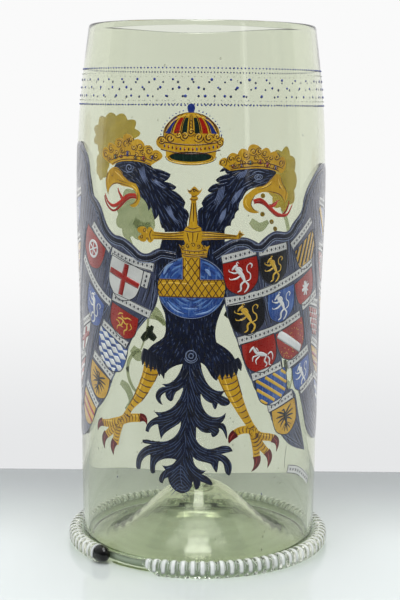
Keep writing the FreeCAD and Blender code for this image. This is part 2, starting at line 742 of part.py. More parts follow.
def dome(half_share, v):
    """A point on the big crown's dome: half_share is -1 at its left edge and 1 at its right."""
    spread = math.sqrt(max(0.0, 1 - ((v - DOME_FOOT) / DOME_RISE) ** 2))
    return (DOME_MIDDLE + half_share * DOME_HALF_WIDTH * spread, v)


def cap(left_share, right_share):
    """A field of the crown's lining seen between two ribs."""
    levels = (224.9, 228, 230.6, 232.6)
    left = [dome(left_share, v) for v in levels]
    right = [dome(right_share, v) for v in levels]
    return figure([right[:1], right[1:], left[-1:], left[-2::-1]])


CAPS = (
    ("blue", -0.93, -0.74),
    ("red", -0.62, -0.42),
    ("green", -0.33, -0.14),
    ("green", 0.14, 0.33),
    ("red", 0.42, 0.62),
    ("blue", 0.74, 0.93),
)


def great_crown():
    return figure([
        [(-17.6, 216.4)],
        [(-20.4, 217.4), (-22.6, 220.2), (-21.2, 223.2), (-18.9, 223.2)],
        [(-18.6, 227), (-15.4, 231.2), (-10, 234.4), (-5.2, 235.2), (-0.4, 234.4), (5.2, 231.2),
         (8.4, 227), (8.7, 223.2)],
        [(10.8, 222.6), (10.2, 219.4), (7.3, 217.2)],
        [(7, 213.4)],
        [(3.8, 211), (-5.2, 210), (-14.2, 211), (-17.4, 213.4)],
    ])


def finial():
    return figure([
        [(-6.9, 236.2), (-7, 238), (-5.2, 239.4), (-3.4, 238), (-3.5, 236.2), (-4, 235)],
        [(-6.4, 235)],
    ])


CROSS_FOOT = 164.4


def cross():
    return figure([
        [(-7.1, 198.8)],
        [(-5.4, 197.4), (-3.2, 199.2), (-1, 197.4), (0.7, 198.8)],
        [(-0.4, 196), (-1.9, 194.6)],
        [(-1.2, 193)],
        [(-2.3, 192.2)],
        [(-1.4, 180)],
        [(0.4, 178.4), (0.4, 177.2)],
        [(9, 176.4), (18.2, 175.2)],
        [(19.6, 177.8)],
        [(20.6, 176.2), (22.4, 175.5)],
        [(20.6, 174.6), (19.4, 173)],
        [(9, 173.2), (0.6, 172.8)],
        [(0.2, 171.4)],
        [(2.4, 169.6), (5, 170.8)],
        [(3.6, 167.4), (3.4, CROSS_FOOT)],
        [(-9.2, CROSS_FOOT)],
        [(-9.4, 167.4), (-10.8, 170.8)],
        [(-8.6, 169.8), (-7.6, 171.4)],
        [(-8.2, 172.8)],
        [(-16, 172.8), (-23.6, 172.6)],
        [(-25.6, 170.9), (-27.4, 172.6)],
        [(-30, 171.2), (-32.2, 172.8), (-31, 174.4)],
        [(-30.2, 175)],
        [(-31.2, 175.6)],
        [(-32.6, 177.4), (-30, 178.8), (-27.3, 177)],
        [(-25.6, 178.7), (-23.6, 176.6)],
        [(-16, 176.2), (-8.2, 177.2)],
        [(-7.4, 178.8), (-6, 180)],
        [(-4.7, 192.2)],
        [(-5.6, 193)],
        [(-4.6, 194.6), (-6, 196)],
    ])


ORB = (-4.5, 148.8, 17.0, 15.0)
ORB_BAND = (144.0, 153.2)
ORB_POST = (-8.8, 0.0)
POST_TUCK = 0.2


def upright(left, right, low, high):
    """A flat rectangle."""
    return figure([[(left, low)], [(right, low)], [(right, high)], [(left, high)]])


def orb_band():
    """The gold girdle, and the post above it that ends under the cross's foot."""
    girdle = upright(ORB[0] - 1.2 * ORB[2], ORB[0] + 1.2 * ORB[2], *ORB_BAND)
    post = upright(*ORB_POST, ORB_BAND[0], CROSS_FOOT + POST_TUCK)
    return joined([girdle.common(ellipse(*ORB)).Faces[0], post])


# The reverse: leafy boughs in olive and grey green, with stems and berries

def leafy_bough(u, v, half_width, half_height, lobes):
    """A rounded mass with a scalloped edge."""
    runs = []
    for index in range(lobes):
        tip = 2 * math.pi * (index + 0.5) / lobes
        notch = 2 * math.pi * (index + 1) / lobes
        runs.append([
            (u + 1.12 * half_width * math.cos(tip), v + 1.12 * half_height * math.sin(tip)),
            (u + 0.94 * half_width * math.cos(notch), v + 0.94 * half_height * math.sin(notch)),
        ])
    return figure(runs)


BOUGHS_OLIVE = (
    (152, 197, 12, 17, 9),
    (-146, 222, 20, 11, 11),
    (-136, 205, 7, 8, 7),
)
BOUGHS_GREY = (
    (-166, 176, 14, 14, 9),
    (168, 142, 9, 9, 7),
)
STEMS = (
    ((-160, 163), (-170, 140), (-174, 116), (-168, 96)),
    ((-168, 96), (-158, 88), (-163, 74), (-172, 68)),
    ((-172, 116), (-184, 112), (-190, 100)),
    ((152, 180), (146, 150), (150, 120), (140, 96), (146, 70)),
    ((150, 120), (162, 112), (168, 98)),
)
STEM_WIDTH = 3.2
BERRIES = (
    (164, 205), (167, 199), (163, 193), (168, 187), (162, 181), (168, 176), (161, 172), (158, 168),
    (-168, 214), (-171, 208), (-166, 203), (-162, 207),
)
BERRY_RADIUS = 1.6


# Assembly of the picture

def picture():
    layers = [
        ("wing_left", wing_left()),
        ("wing_right", wing_right()),
        ("breast", breast()),
        ("tail", tail()),
        ("leg_left", leg_left()),
        ("leg_right", leg_right()),
    ]
    layers += [("claws_left", claw(*points, CLAW_WIDTH)) for points in CLAWS_LEFT]
    layers += [("claws_right", claw(*points, CLAW_WIDTH)) for points in CLAWS_RIGHT]
    layers += [
        ("head_left", head_left()),
        ("head_right", head_right()),
        ("beak_left", beak_left()),
        ("beak_right", beak_right()),
        ("tongue_left", tongue((-32.9, 193.2), ((-42.4, 192.4), (-44.5, 196.8)), -1)),
        ("tongue_right", tongue((26.9, 191.4), ((37.4, 190), (41.4, 192)), 1)),
        ("crown_of_left_head", crown_of_left_head()),
        ("crown_of_right_head", crown_of_right_head()),
        ("orb", ellipse(*ORB)),
        ("orb_band", orb_band()),
        ("cross", cross()),
        ("great_crown", great_crown()),
        ("great_crown_opening", ellipse(-5.3, 213.5, 10.2, 2.3)),
        ("great_crown_finial", finial()),
    ]
    layers += [("great_crown_caps_" + colour, cap(left, right)) for colour, left, right in CAPS]
    layers += [("shields_" + colour, shield(*corners)) for colour, *corners in SHIELDS]
    for colour, top, lean in FLANK_SHIELDS:
        left, right, foot = flank_corners(top, lean)
        layers.append(("shields_" + colour, shield(left, right, foot)))
        ends = [(u, v + RIBBON_LIFT) for u, v in (left, right)]
        layers.append(("ribbons_flanks", strip(ends, RIBBON)))
    layers += [("ribbons_left", strip(points, RIBBON)) for points in RIBBONS_LEFT]
    layers += [("ribbons_right", strip(points, RIBBON)) for points in RIBBONS_RIGHT]
    layers += [("reverse_stems", strip(points, STEM_WIDTH, 1.0)) for points in STEMS]
    layers += [("reverse_boughs_olive", leafy_bough(*sizes)) for sizes in BOUGHS_OLIVE]
    layers += [("reverse_boughs_grey", leafy_bough(*sizes)) for sizes in BOUGHS_GREY]
    layers += [("reverse_berries", ellipse(u, v, BERRY_RADIUS, BERRY_RADIUS * 0.9)) for u, v in BERRIES]
    return mosaic(layers)


# Dots

def dot(turn, z, radius):
    """A flat drop of enamel, square to the wall."""
    slope = OUTLINE.tangent(z)[0]
    outward = Vector(math.sin(turn) * slope.z, -math.cos(turn) * slope.z, -slope.y)
    spot = wall_radius(z) + WALL_FIT
    place =Vector(spot * math.sin(turn), -spot * math.cos(turn), z)
    return Part.makeCylinder(radius, ENAMEL, place, outward)


def dot_row(z, count, radius, shift=0.0):
    return [dot(2 * math.pi * (index + shift) / count, z, radius) for index in range(count)]


def rim_dots_blue():
    dots = dot_row(HEIGHT - BAND_TOP_DROP, BAND_DOTS, BAND_DOT_RADIUS)
    dots += dot_row(HEIGHT - BAND_BOTTOM_DROP, BAND_DOTS, BAND_DOT_RADIUS)
    return dots


def rim_dots_large():
    dots = []
    for row, drop in enumerate(BIG_DOT_DROPS):
        dots += dot_row(HEIGHT - drop, BIG_DOTS, BIG_DOT_RADIUS, 0.5 + row / len(BIG_DOT_DROPS))
    return dots


def rim_dots_white():
    dots = []
    for drop in WHITE_DOT_DROPS:
        dots += dot_row(HEIGHT - drop, WHITE_DOTS, WHITE_DOT_RADIUS, 0.5)
    return dots


HALO_DOTS = 23
HALO_GAP = 1.3
HALO_START = 8.0
HALO_DOT_RADIUS = 0.38
FINIAL_ROOM = 2.6


def great_crown_halo():
    """Blue dots that follow the dome at a small distance and leave room for its finial."""
    dots = []
    for index in range(HALO_DOTS):
        swing = math.radians(HALO_START + (180 - 2 * HALO_START) * index / (HALO_DOTS - 1))
        away = (DOME_HALF_WIDTH + HALO_GAP) * math.cos(swing)
        v = DOME_FOOT + (DOME_RISE + HALO_GAP) * math.sin(swing)
        if abs(away) > FINIAL_ROOM:
            dots.append(dot((DOME_MIDDLE + away) / DRAWING_RADIUS, level(v), HALO_DOT_RADIUS))
    return dots


def main():
    body = vessel_body()
    nodes = {
        "vessel_body": [body],
        "foot_trail": [foot_trail()],
        "pontil_scar": [pontil_scar(body)],
        "rim_dots_blue": rim_dots_blue(),
        "rim_dots_large": rim_dots_large(),
        "rim_dots_white": rim_dots_white(),
        "great_crown_halo": great_crown_halo(),
    }
    nodes.update(picture())
    for node, solids in nodes.items():
        whole = Part.makeCompound(solids) if len(solids) > 1 else solids[0]
        whole.exportStep(os.path.join("parts", node + ".step"))
        volume = sum(solid.Volume for solid in solids)
        print(f"{node}: {len(solids)} solids, {volume:.1f} mm3, sound: {whole.isValid()}")


main()
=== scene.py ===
import json
import math

import bpy
import numpy as np
from mathutils import Matrix, Vector
from mathutils.bvhtree import BVHTree


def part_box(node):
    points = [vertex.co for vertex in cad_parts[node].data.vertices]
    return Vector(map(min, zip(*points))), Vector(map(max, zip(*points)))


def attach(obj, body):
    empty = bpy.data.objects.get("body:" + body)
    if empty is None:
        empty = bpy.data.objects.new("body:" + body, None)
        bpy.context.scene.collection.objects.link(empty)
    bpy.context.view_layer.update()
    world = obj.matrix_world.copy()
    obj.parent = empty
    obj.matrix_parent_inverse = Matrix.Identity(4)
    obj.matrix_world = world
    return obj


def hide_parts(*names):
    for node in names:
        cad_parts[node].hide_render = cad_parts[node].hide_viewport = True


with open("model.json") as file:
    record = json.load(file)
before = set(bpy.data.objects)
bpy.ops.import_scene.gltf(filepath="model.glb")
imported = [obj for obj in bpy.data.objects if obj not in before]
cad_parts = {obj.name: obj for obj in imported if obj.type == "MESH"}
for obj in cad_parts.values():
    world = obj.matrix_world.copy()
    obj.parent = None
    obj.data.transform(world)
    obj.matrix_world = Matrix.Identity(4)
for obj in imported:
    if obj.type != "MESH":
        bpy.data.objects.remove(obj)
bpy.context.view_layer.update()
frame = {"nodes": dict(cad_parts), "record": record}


# The camera stands before the vessel at about the height of its crown, looks down a little
# and leans by half a degree, as the photograph does.
EYE_DISTANCE = 0.736
EYE_HEIGHT = 0.2408
LOOK_DOWN = math.radians(8.3)
LEAN = math.radians(0.528)
LENS = 82.0

camera = bpy.data.objects.new("camera", bpy.data.cameras.new("camera"))
camera.data.lens = LENS
camera.data.sensor_width = 36.0
camera.matrix_world = (
    Matrix.Translation((0.0, -EYE_DISTANCE, EYE_HEIGHT))
    @ Matrix.Rotation(math.pi / 2 - LOOK_DOWN, 4, "X")
    @ Matrix.Rotation(LEAN, 4, "Z")
)
bpy.context.scene.collection.objects.link(camera)
bpy.context.scene.camera = camera
bpy.context.scene.view_settings.view_transform = "Standard"


# The room: a pale shelf that ends behind the vessel and is painted dark before the camera's view, as painted
# shade, a near-white wall painted a little darker low down, as painted shade, a long lamp overhead that the
# glass mirrors, and soft light from the front.
class Signal:
    """A node's output that can stand in sums: each operator adds a Math node."""

    def __init__(self, tree, socket):
        self.tree = tree
        self.socket = socket

    def math(self, operation, first, second=0.0):
        return self.tree.node("ShaderNodeMath", {"operation": operation}, {0: first, 1: second})

    def __add__(self, other):
        return self.math("ADD", self, other)

    def __mul__(self, other):
        return self.math("MULTIPLY", self, other)

    def __pow__(self, other):
        return self.math("POWER", self, other)

    __radd__ = __add__
    __rmul__ = __mul__

    def upto(self, limit):
        return self.math("MINIMUM", self, limit)

    def wave(self):
        return self.math("COSINE", self)

    def size(self):
        return self.math("ABSOLUTE", self)


class Tree:
    """A node tree. Each node is given by its kind, its settings and its inputs."""

    def __init__(self, tree):
        self.tree = tree
        self.tree.nodes.clear()

    def node(self, kind, settings=None, inputs=None, output=0):
        node = self.tree.nodes.new(kind)
        for name, value in (settings or {}).items():
            if name == "stops":
                ramp = node.color_ramp.elements
                while len(ramp) < len(value):
                    ramp.new(0.5)
                for stop, (position, colour) in zip(ramp, value):
                    stop.position = position
                    stop.color = colour
            else:
                setattr(node, name, value)
        for name, value in (inputs or {}).items():
            if isinstance(value, Signal):
                self.tree.links.new(value.socket, node.inputs[name])
            else:
                node.inputs[name].default_value = value
        return Signal(self, node.outputs[output] if node.outputs else None)

    def mixed(self, share, first, second):
        """Two colours mixed by the share of the second."""
        return self.node("ShaderNodeMix", {"data_type": "RGBA"}, {0: share, 6: first, 7: second}, 2)

    def part(self, vector, axis):
        return self.node("ShaderNodeSeparateXYZ", None, {0: vector}, axis)

    def rise(self, value, low, high, kind="LINEAR"):
        """From 0 to 1 while a value runs from low to high; high may be the smaller one."""
        return self.node("ShaderNodeMapRange", {"interpolation_type": kind}, {0: value, 1: low, 2: high})


def new_material(name):
    material = bpy.data.materials.new(name)
    material.use_nodes = True
    return material, Tree(material.node_tree)


def colour(red, green, blue):
    """A screen colour from 0 to 255 as linear light."""
    parts = [value / 255.0 for value in (red, green, blue)]
    linear = [p / 12.92 if p < 0.04045 else ((p + 0.055) / 1.055) ** 2.4 for p in parts]
    return (*linear, 1.0)


def seen(tree):
    """1 for rays that show the room as such: straight, mirrored or through glass."""
    straight, mirrored, through = (
        tree.node("ShaderNodeLightPath", output="Is %s Ray" % kind)
        for kind in ("Camera", "Glossy", "Transmission")
    )
    return (straight + mirrored + through).upto(1.0)


def new_object(name, points, faces, material=None):
    mesh = bpy.data.meshes.new(name)
    mesh.from_pydata([tuple(point) for point in points], [], [tuple(face) for face in faces])
    mesh.update()
    mesh.shade_smooth()
    if material:
        mesh.materials.append(material)
    thing = bpy.data.objects.new(name, mesh)
    bpy.context.scene.collection.objects.link(thing)
    return thing


SHELF_END = 0.139
WALL_PLACE = 0.60
ROOM_REACH = 3.0
WALL_TOP = colour(250, 250, 250)
WALL_LOW = colour(230, 231, 232)
WALL_FADE = (-0.12, 0.10)
SHELF_NEAR = colour(214, 220, 220)
SHELF_FAR = colour(140, 146, 148)
SHELF_CLOUD = colour(202, 209, 208)
SHELF_PAINTED_SHADE = colour(58, 60, 62)
SHELF_FADE = (-0.02, SHELF_END)
SHELF_LIT = (-0.24, -0.13)
SHELF_DROP = 0.0002
SKY = (
    (0.0, colour(120, 126, 128)), (0.47, colour(150, 155, 155)),
    (0.53, colour(185, 188, 188)), (1.0, colour(238, 240, 240)),
)
SKY_BEHIND_CAMERA = colour(74, 77, 80)
SKY_STRENGTH = 0.80

wall_material, tree = new_material("room_wall")
height = tree.part(tree.node("ShaderNodeTexCoord", output="Object"), "Z")
# Painted shade: the wall's colour is a little darker low down than high up.
tint = tree.mixed(tree.rise(height, *WALL_FADE, "SMOOTHSTEP"), WALL_LOW, WALL_TOP)
shown = tree.node("ShaderNodeEmission", None, {"Color": tint, "Strength": 1.0})
lit = tree.node("ShaderNodeBsdfDiffuse", None, {"Color": tint})
both = tree.node("ShaderNodeMixShader", None, {0: seen(tree), 1: lit, 2: shown})
from_behind = tree.node("ShaderNodeNewGeometry", output="Backfacing")
open_side = tree.node("ShaderNodeBsdfTransparent")
one_sided = tree.node("ShaderNodeMixShader", None, {0: from_behind, 1: both, 2: open_side})
tree.node("ShaderNodeOutputMaterial", None, {0: one_sided})

shelf_material, tree = new_material("room_shelf")
place = tree.node("ShaderNodeTexCoord", output="Object")
cloud = tree.node("ShaderNodeTexNoise", None, {"Vector": place, "Scale": 6.0, "Detail": 2.0})
toward_wall = tree.part(place, "Y")
far = tree.rise(toward_wall, *SHELF_FADE, "SMOOTHSTEP")
lit_part = tree.rise(toward_wall, *SHELF_LIT, "SMOOTHSTEP")
# Painted shade: the shelf's colour turns dark towards the camera, as if the room there were unlit. Nearer the
# vessel it keeps its lit colour.
near = tree.mixed(lit_part, SHELF_PAINTED_SHADE, tree.mixed(cloud * 0.5, SHELF_NEAR, SHELF_CLOUD))
body = tree.node("ShaderNodeBsdfPrincipled", None, {
    "Base Color": tree.mixed(far, near, SHELF_FAR),
    "Roughness": 0.07,
    "Specular IOR Level": 0.5,
})
tree.node("ShaderNodeOutputMaterial", None, {0: body})

wall = new_object("room_wall", [
    (-ROOM_REACH, WALL_PLACE, -1.0), (ROOM_REACH, WALL_PLACE, -1.0),
    (ROOM_REACH, WALL_PLACE, 2.5), (-ROOM_REACH, WALL_PLACE, 2.5),
], [(0, 1, 2, 3)], wall_material)
shelf = new_object("room_shelf", [
    (-ROOM_REACH, -ROOM_REACH, -SHELF_DROP), (ROOM_REACH, -ROOM_REACH, -SHELF_DROP),
    (ROOM_REACH, SHELF_END, -SHELF_DROP), (-ROOM_REACH, SHELF_END, -SHELF_DROP),
], [(0, 1, 2, 3)], shelf_material)

world = bpy.data.worlds.new("room")
world.use_nodes = True
bpy.context.scene.world = world
tree = Tree(world.node_tree)
around = tree.node("ShaderNodeTexCoord", output="Generated")
height = tree.part(around, "Z")
depth = tree.part(around, "Y")
sky = tree.node("ShaderNodeValToRGB", {"stops": SKY}, {0: (height + 1.0) * 0.5})
front = tree.rise(depth + height.size() * 0.5, -0.9, -0.1, "SMOOTHSTEP")
ambient = tree.node("ShaderNodeBackground", None,
                    {0: tree.mixed(front, SKY_BEHIND_CAMERA, sky), 1: SKY_STRENGTH})
tree.node("ShaderNodeOutputWorld", None, {0: ambient})


def soft_light(name, place, target, size, power, mirrored=True):
    """A lamp with a width and a length that looks at a target; glass may mirror it or not."""
    lamp = bpy.data.lights.new(name, "AREA")
    lamp.shape = "RECTANGLE"
    lamp.size, lamp.size_y = size
    lamp.energy = power
    thing = bpy.data.objects.new(name, lamp)
    turned = (Vector(target) - Vector(place)).to_track_quat("-Z", "Y").to_matrix().to_4x4()
    thing.matrix_world = Matrix.Translation(place) @ turned
    thing.visible_glossy = mirrored
    thing.visible_transmission = mirrored
    bpy.context.scene.collection.objects.link(thing)


soft_light("light_above", (0.0, -0.22, 1.15), (0.0, -0.22, 0.0), (0.32, 1.20), 8.0)
soft_light("light_left", (-1.0, -0.9, 0.85), (0.0, 0.0, 0.14), (0.9, 0.9), 9.0, False)
soft_light("light_right", (1.05, -0.9, 0.75), (0.0, 0.0, 0.14), (0.7, 0.8), 6.0, False)
soft_light("light_strip", (0.86, -0.99, 0.62), (0.0, 0.0, 0.2), (0.10, 1.0), 0.4)


# The blown body: pale grey-green glass with a slightly uneven wall, a fire-polished rim and a
# base pushed up into a bell. Its outside is the solid's own wall, which the enamel lies on.
TURNS = 192
WALL_GLASS = 0.003
WALL_WANDER = 0.00022
GLASS_FILM = 0.00003
RIM_ROUND = 0.00125
FLOOR_ROUND = 0.004
EVEN_AT_FLOOR = 0.02
EVEN_AT_RIM = 0.012
WALL_FROM = 0.055
WALL_ABOVE = 0.0043
UPRIGHT = 0.97
KICK_RIPPLE = 0.00004
KICK_PITCH = 0.0042
KICK_CALM = 0.006
KICK_TOP = 0.03403
KICK_UNDERSIDE = 0.03063
KICK_REACH = 0.051
KICK_TIP = 0.0025
LEVEL = 0.2

body_mesh = frame["nodes"]["vessel_body"].data
outer_wall = {}
kick_above = {0.0: KICK_TOP}
kick_below = {0.0: KICK_UNDERSIDE}
for face in body_mesh.polygons:
    middle = face.center
    reach = math.hypot(middle.x, middle.y)
    outward = (face.normal.x * middle.x + face.normal.y * middle.y) / max(reach, 1e-6)
    for index in face.vertices:
        x, y, z = body_mesh.vertices[index].co
        out = math.hypot(x, y)
        if outward > UPRIGHT and reach > WALL_FROM and z > WALL_ABOVE:
            outer_wall[round(z, 5)] = out
        elif reach < KICK_REACH and out > KICK_TIP and abs(face.normal.z) > LEVEL:
            side = kick_above if face.normal.z > 0 else kick_below
            side[round(out, 5)] = z


def smooth_line(table, degree):
    """One smooth line through the places that a table gives."""
    keys = sorted(table)
    return np.polynomial.Chebyshev.fit(keys, [table[key] for key in keys], degree)


wall_radius = smooth_line(outer_wall, 11)
kick_upper = smooth_line(kick_above, 9)
kick_lower = smooth_line(kick_below, 9)
WALL_LOW_END = min(outer_wall)
BASE_PLANE, RIM_TOP = (corner.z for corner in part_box("vessel_body"))


def wander(turn, z):
    """A smooth unevenness from -1 to 1, as a blown wall has."""
    return (
        np.sin(3 * turn + 31 * z + 0.6) * 0.4
        + np.sin(5 * turn - 47 * z + 2.1) * 0.3
        + np.sin(2 * turn + 83 * z + 4.0) * 0.3
    )


def vessel_rings():
    """Half section from the bell's top, up the inside, over the rim and down the outside."""
    rings = []
    for out in np.linspace(0.0, max(kick_above), 120):
        calm = min(1.0, out / KICK_CALM)
        ripple = KICK_RIPPLE * math.sin(out * 2 * math.pi / KICK_PITCH) * calm
        rings.append((out, kick_upper(out) + ripple, 0.0))
    floor = kick_upper(max(kick_above))
    floor_out = wall_radius(floor + FLOOR_ROUND) - WALL_GLASS
    for turn in np.linspace(0.1, math.pi / 2, 8):
        rings.append((floor_out - FLOOR_ROUND + FLOOR_ROUND * math.sin(turn),
                      floor + FLOOR_ROUND - FLOOR_ROUND * math.cos(turn), 0.0))
    top = RIM_TOP - RIM_ROUND
    for z in np.linspace(floor + FLOOR_ROUND, top, 118)[1:]:
        share = min(1.0, (z - floor - FLOOR_ROUND) / EVEN_AT_FLOOR, (top - z) / EVEN_AT_RIM)
        rings.append((wall_radius(z) - WALL_GLASS, z, max(share, 0.0)))
    middle = wall_radius(top) - WALL_GLASS / 2
    for turn in np.linspace(math.pi, 0.0, 12)[1:-1]:
        rings.append((middle + WALL_GLASS / 2 * math.cos(turn), top + RIM_ROUND * math.sin(turn), 0.0))
    for z in np.linspace(top, WALL_LOW_END, 130):
        rings.append((wall_radius(z) + GLASS_FILM, z, 0.0))
    base_out = wall_radius(WALL_LOW_END)
    corner = WALL_LOW_END - BASE_PLANE
    for turn in np.linspace(0.0, math.pi / 2, 9)[1:]:
        rings.append((base_out - corner + corner * math.cos(turn),
                      WALL_LOW_END - corner * math.sin(turn), 0.0))
    for out in np.linspace(max(kick_below), 0.0, 60):
        rings.append((out, max(kick_lower(out), BASE_PLANE), 0.0))
    return rings


def lathe(name, rings, material):
    """Turn a half section round the axis; it starts and ends on the axis."""
    points = [(0.0, 0.0, rings[0][1])]
    faces = []
    inside = rings[1:-1]
    for out, z, uneven in inside:
        for step in range(TURNS):
            turn = 2 * math.pi * step / TURNS
            radius = out + uneven * WALL_WANDER * wander(turn, z)
            points.append((radius * math.sin(turn), -radius * math.cos(turn), z))
    points.append((0.0, 0.0, rings[-1][1]))
    last = len(points) - 1
    for step in range(TURNS):
        after = (step + 1) % TURNS
        faces.append((0, 1 + step, 1 + after))
        for ring in range(len(inside) - 1):
            a = 1 + ring * TURNS
            b = a + TURNS
            faces.append((a + step, b + step, b + after, a + after))
        end = 1 + (len(inside) - 1) * TURNS
        faces.append((last, end + after, end + step))
    return new_object(name, points, faces, material)


GLASS_IN_DEPTH = (0.56, 0.61, 0.28, 1.0)
GLASS_SHADOW = 1.7


def glass(name, clear, density, roughness=0.0, wave=0.02, wear_and_painted_highlight=None):
    """Glass that tints what is seen through it a little at each wall and more in depth. The last argument, if
    given, is a pair: a rule for the share of a dull diffuse skin at a place, and that skin's colour. On the
    body the skin is fine wear. On the nipped thread it is a painted white highlight on the rib crests."""
    material, tree = new_material(name)
    place = tree.node("ShaderNodeTexCoord", output="Object")
    stretched = tree.node("ShaderNodeMapping", None, {"Vector": place, "Scale": (1.0, 1.0, 0.35)})
    ripple = tree.node("ShaderNodeTexNoise", None,
                       {"Vector": stretched, "Scale": 34.0, "Detail": 1.5, "Roughness": 0.4})
    bump = tree.node("ShaderNodeBump", None, {"Strength": wave, "Distance": 0.004, "Height": ripple})
    body = tree.node("ShaderNodeBsdfPrincipled", None, {
        "Base Color": clear,
        "Roughness": roughness,
        "IOR": 1.5,
        "Transmission Weight": 1.0,
        "Normal": bump,
    })
    if wear_and_painted_highlight:
        rule, dull_colour = wear_and_painted_highlight
        dull = tree.node("ShaderNodeBsdfDiffuse", None, {"Color": dull_colour})
        body = tree.node("ShaderNodeMixShader", None, {0: rule(tree, place), 1: body, 2: dull})
    shade = tuple(part ** GLASS_SHADOW for part in clear)
    veil = tree.node("ShaderNodeBsdfTransparent", None, {"Color": shade})
    shadow = tree.node("ShaderNodeLightPath", output="Is Shadow Ray")
    both = tree.node("ShaderNodeMixShader", None, {0: shadow, 1: body, 2: veil})
    depth = tree.node("ShaderNodeVolumeAbsorption", None, {"Color": GLASS_IN_DEPTH, "Density": density})
    tree.node("ShaderNodeOutputMaterial", None, {"Surface": both, "Volume": depth})
    return material


WEAR_HEIGHT = (0.0075, 0.0045)
WEAR_OUTSIDE = (0.0615, 0.0625)
WEAR_MOST = 0.7


def foot_wear(tree, place):
    """The share of fine scratches low on the outside, where the vessel was pushed about."""
    level = tree.node("ShaderNodeVectorMath", {"operation": "MULTIPLY"}, {0: place, 1: (1.0, 1.0, 0.0)})
    across = tree.node("ShaderNodeVectorMath", {"operation": "LENGTH"}, {0: level}, "Value")
    outside = tree.rise(across, *WEAR_OUTSIDE)
    return tree.rise(tree.part(place, "Z"), *WEAR_HEIGHT) * outside * WEAR_MOST


vessel_glass = glass("pale_green_glass", (0.885, 0.905, 0.84, 1.0), 44.0,
                     wear_and_painted_highlight=(foot_wear, colour(176, 190, 166)))
vessel = lathe("vessel_glass", vessel_rings(), vessel_glass)
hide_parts("vessel_body")
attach(vessel, "root")

scar = frame["nodes"]["pontil_scar"]
scar.data.materials.clear()
scar.data.materials.append(glass("scar_glass", (0.88, 0.92, 0.86, 1.0), 38.0, 0.25, 0.4))


# The foot trail: a glass thread laid hot round the base and nipped into ribs by a toothed
# wheel. It starts thin beside a gap in front; past the gap it ends in a knob of darker glass,
# which a thin leftover of the thread joins to the start.
RIBS = 88
RIB_STEPS = 12
TRAIL_AROUND = 22
TRAIL_START = math.radians(-26.0)
TRAIL_END = math.radians(311.8)
TRAIL_REACH = 0.0077
TRAIL_HEIGHT = 0.0088
RIB_DEPTH = 0.0015
TRAIL_TAPER = math.radians(9.0)
KNOB_SPREAD = math.radians(7.0)
KNOB_GROWTH = 0.10
START_LIFT = 0.7
BACK_RIBS = 0.4
# The rib crests' painted highlight: where round the thread, from what height up and how strongly the dull
# white lies.
CREST = (0.15, -0.75)
CREST_HEIGHT = (0.0022, 0.0040)
CREST_WHITE = 0.75
KNOB_HALF = (0.0038, 0.0058, 0.0046)
KNOB_HEIGHT = 0.0050
LEFTOVER_HALF = (0.0004, 0.0030, 0.0005)
LEFTOVER_HEIGHT = 0.0009


def recipe(name, sizes):
    """A Geometry Nodes tree with one geometry in and out, and named sizes."""
    group = bpy.data.node_groups.new(name, "GeometryNodeTree")
    group.interface.new_socket("Geometry", in_out="INPUT", socket_type="NodeSocketGeometry")
    for label, kind in sizes:
        group.interface.new_socket(label, in_out="INPUT", socket_type="NodeSocket" + kind)
    group.interface.new_socket("Geometry", in_out="OUTPUT", socket_type="NodeSocketGeometry")
    tree = Tree(group)
    entry = group.nodes.new("NodeGroupInput")
    given = {socket.name: Signal(tree, socket) for socket in entry.outputs if socket.name}
    return tree, given


def stored(tree, name, kind="FLOAT"):
    return tree.node("GeometryNodeInputNamedAttribute", {"data_type": kind}, {"Name": name})


def serve(tree, given, geometry):
    """Give the geometry its material and hand it out of the tree."""
    painted = tree.node("GeometryNodeSetMaterial", None,
                        {"Geometry": geometry, "Material": given["Material"]})
    tree.node("NodeGroupOutput", None, {0: painted})


def cook(source, tree, values, material):
    """Run a tree on an object and keep the result as its plain mesh."""
    modifier = source.modifiers.new(tree.tree.name, "NODES")
    modifier.node_group = tree.tree
    for item in tree.tree.interface.items_tree:
        if item.in_out == "INPUT" and item.name in values:
            modifier[item.identifier] = values[item.name]
    bpy.context.view_layer.update()
    ready = source.evaluated_get(bpy.context.evaluated_depsgraph_get())
    mesh = bpy.data.meshes.new_from_object(ready)
    source.modifiers.remove(modifier)
    mesh.name = source.name
    mesh.materials.clear()
    mesh.materials.append(material)
    mesh.shade_smooth()
    source.data = mesh
    return source


def attribute(thing, name, kind, values):
    layer = thing.data.attributes.new(name, kind, "POINT")
    layer.data.foreach_set("vector" if kind == "FLOAT_VECTOR" else "value", np.ravel(values))


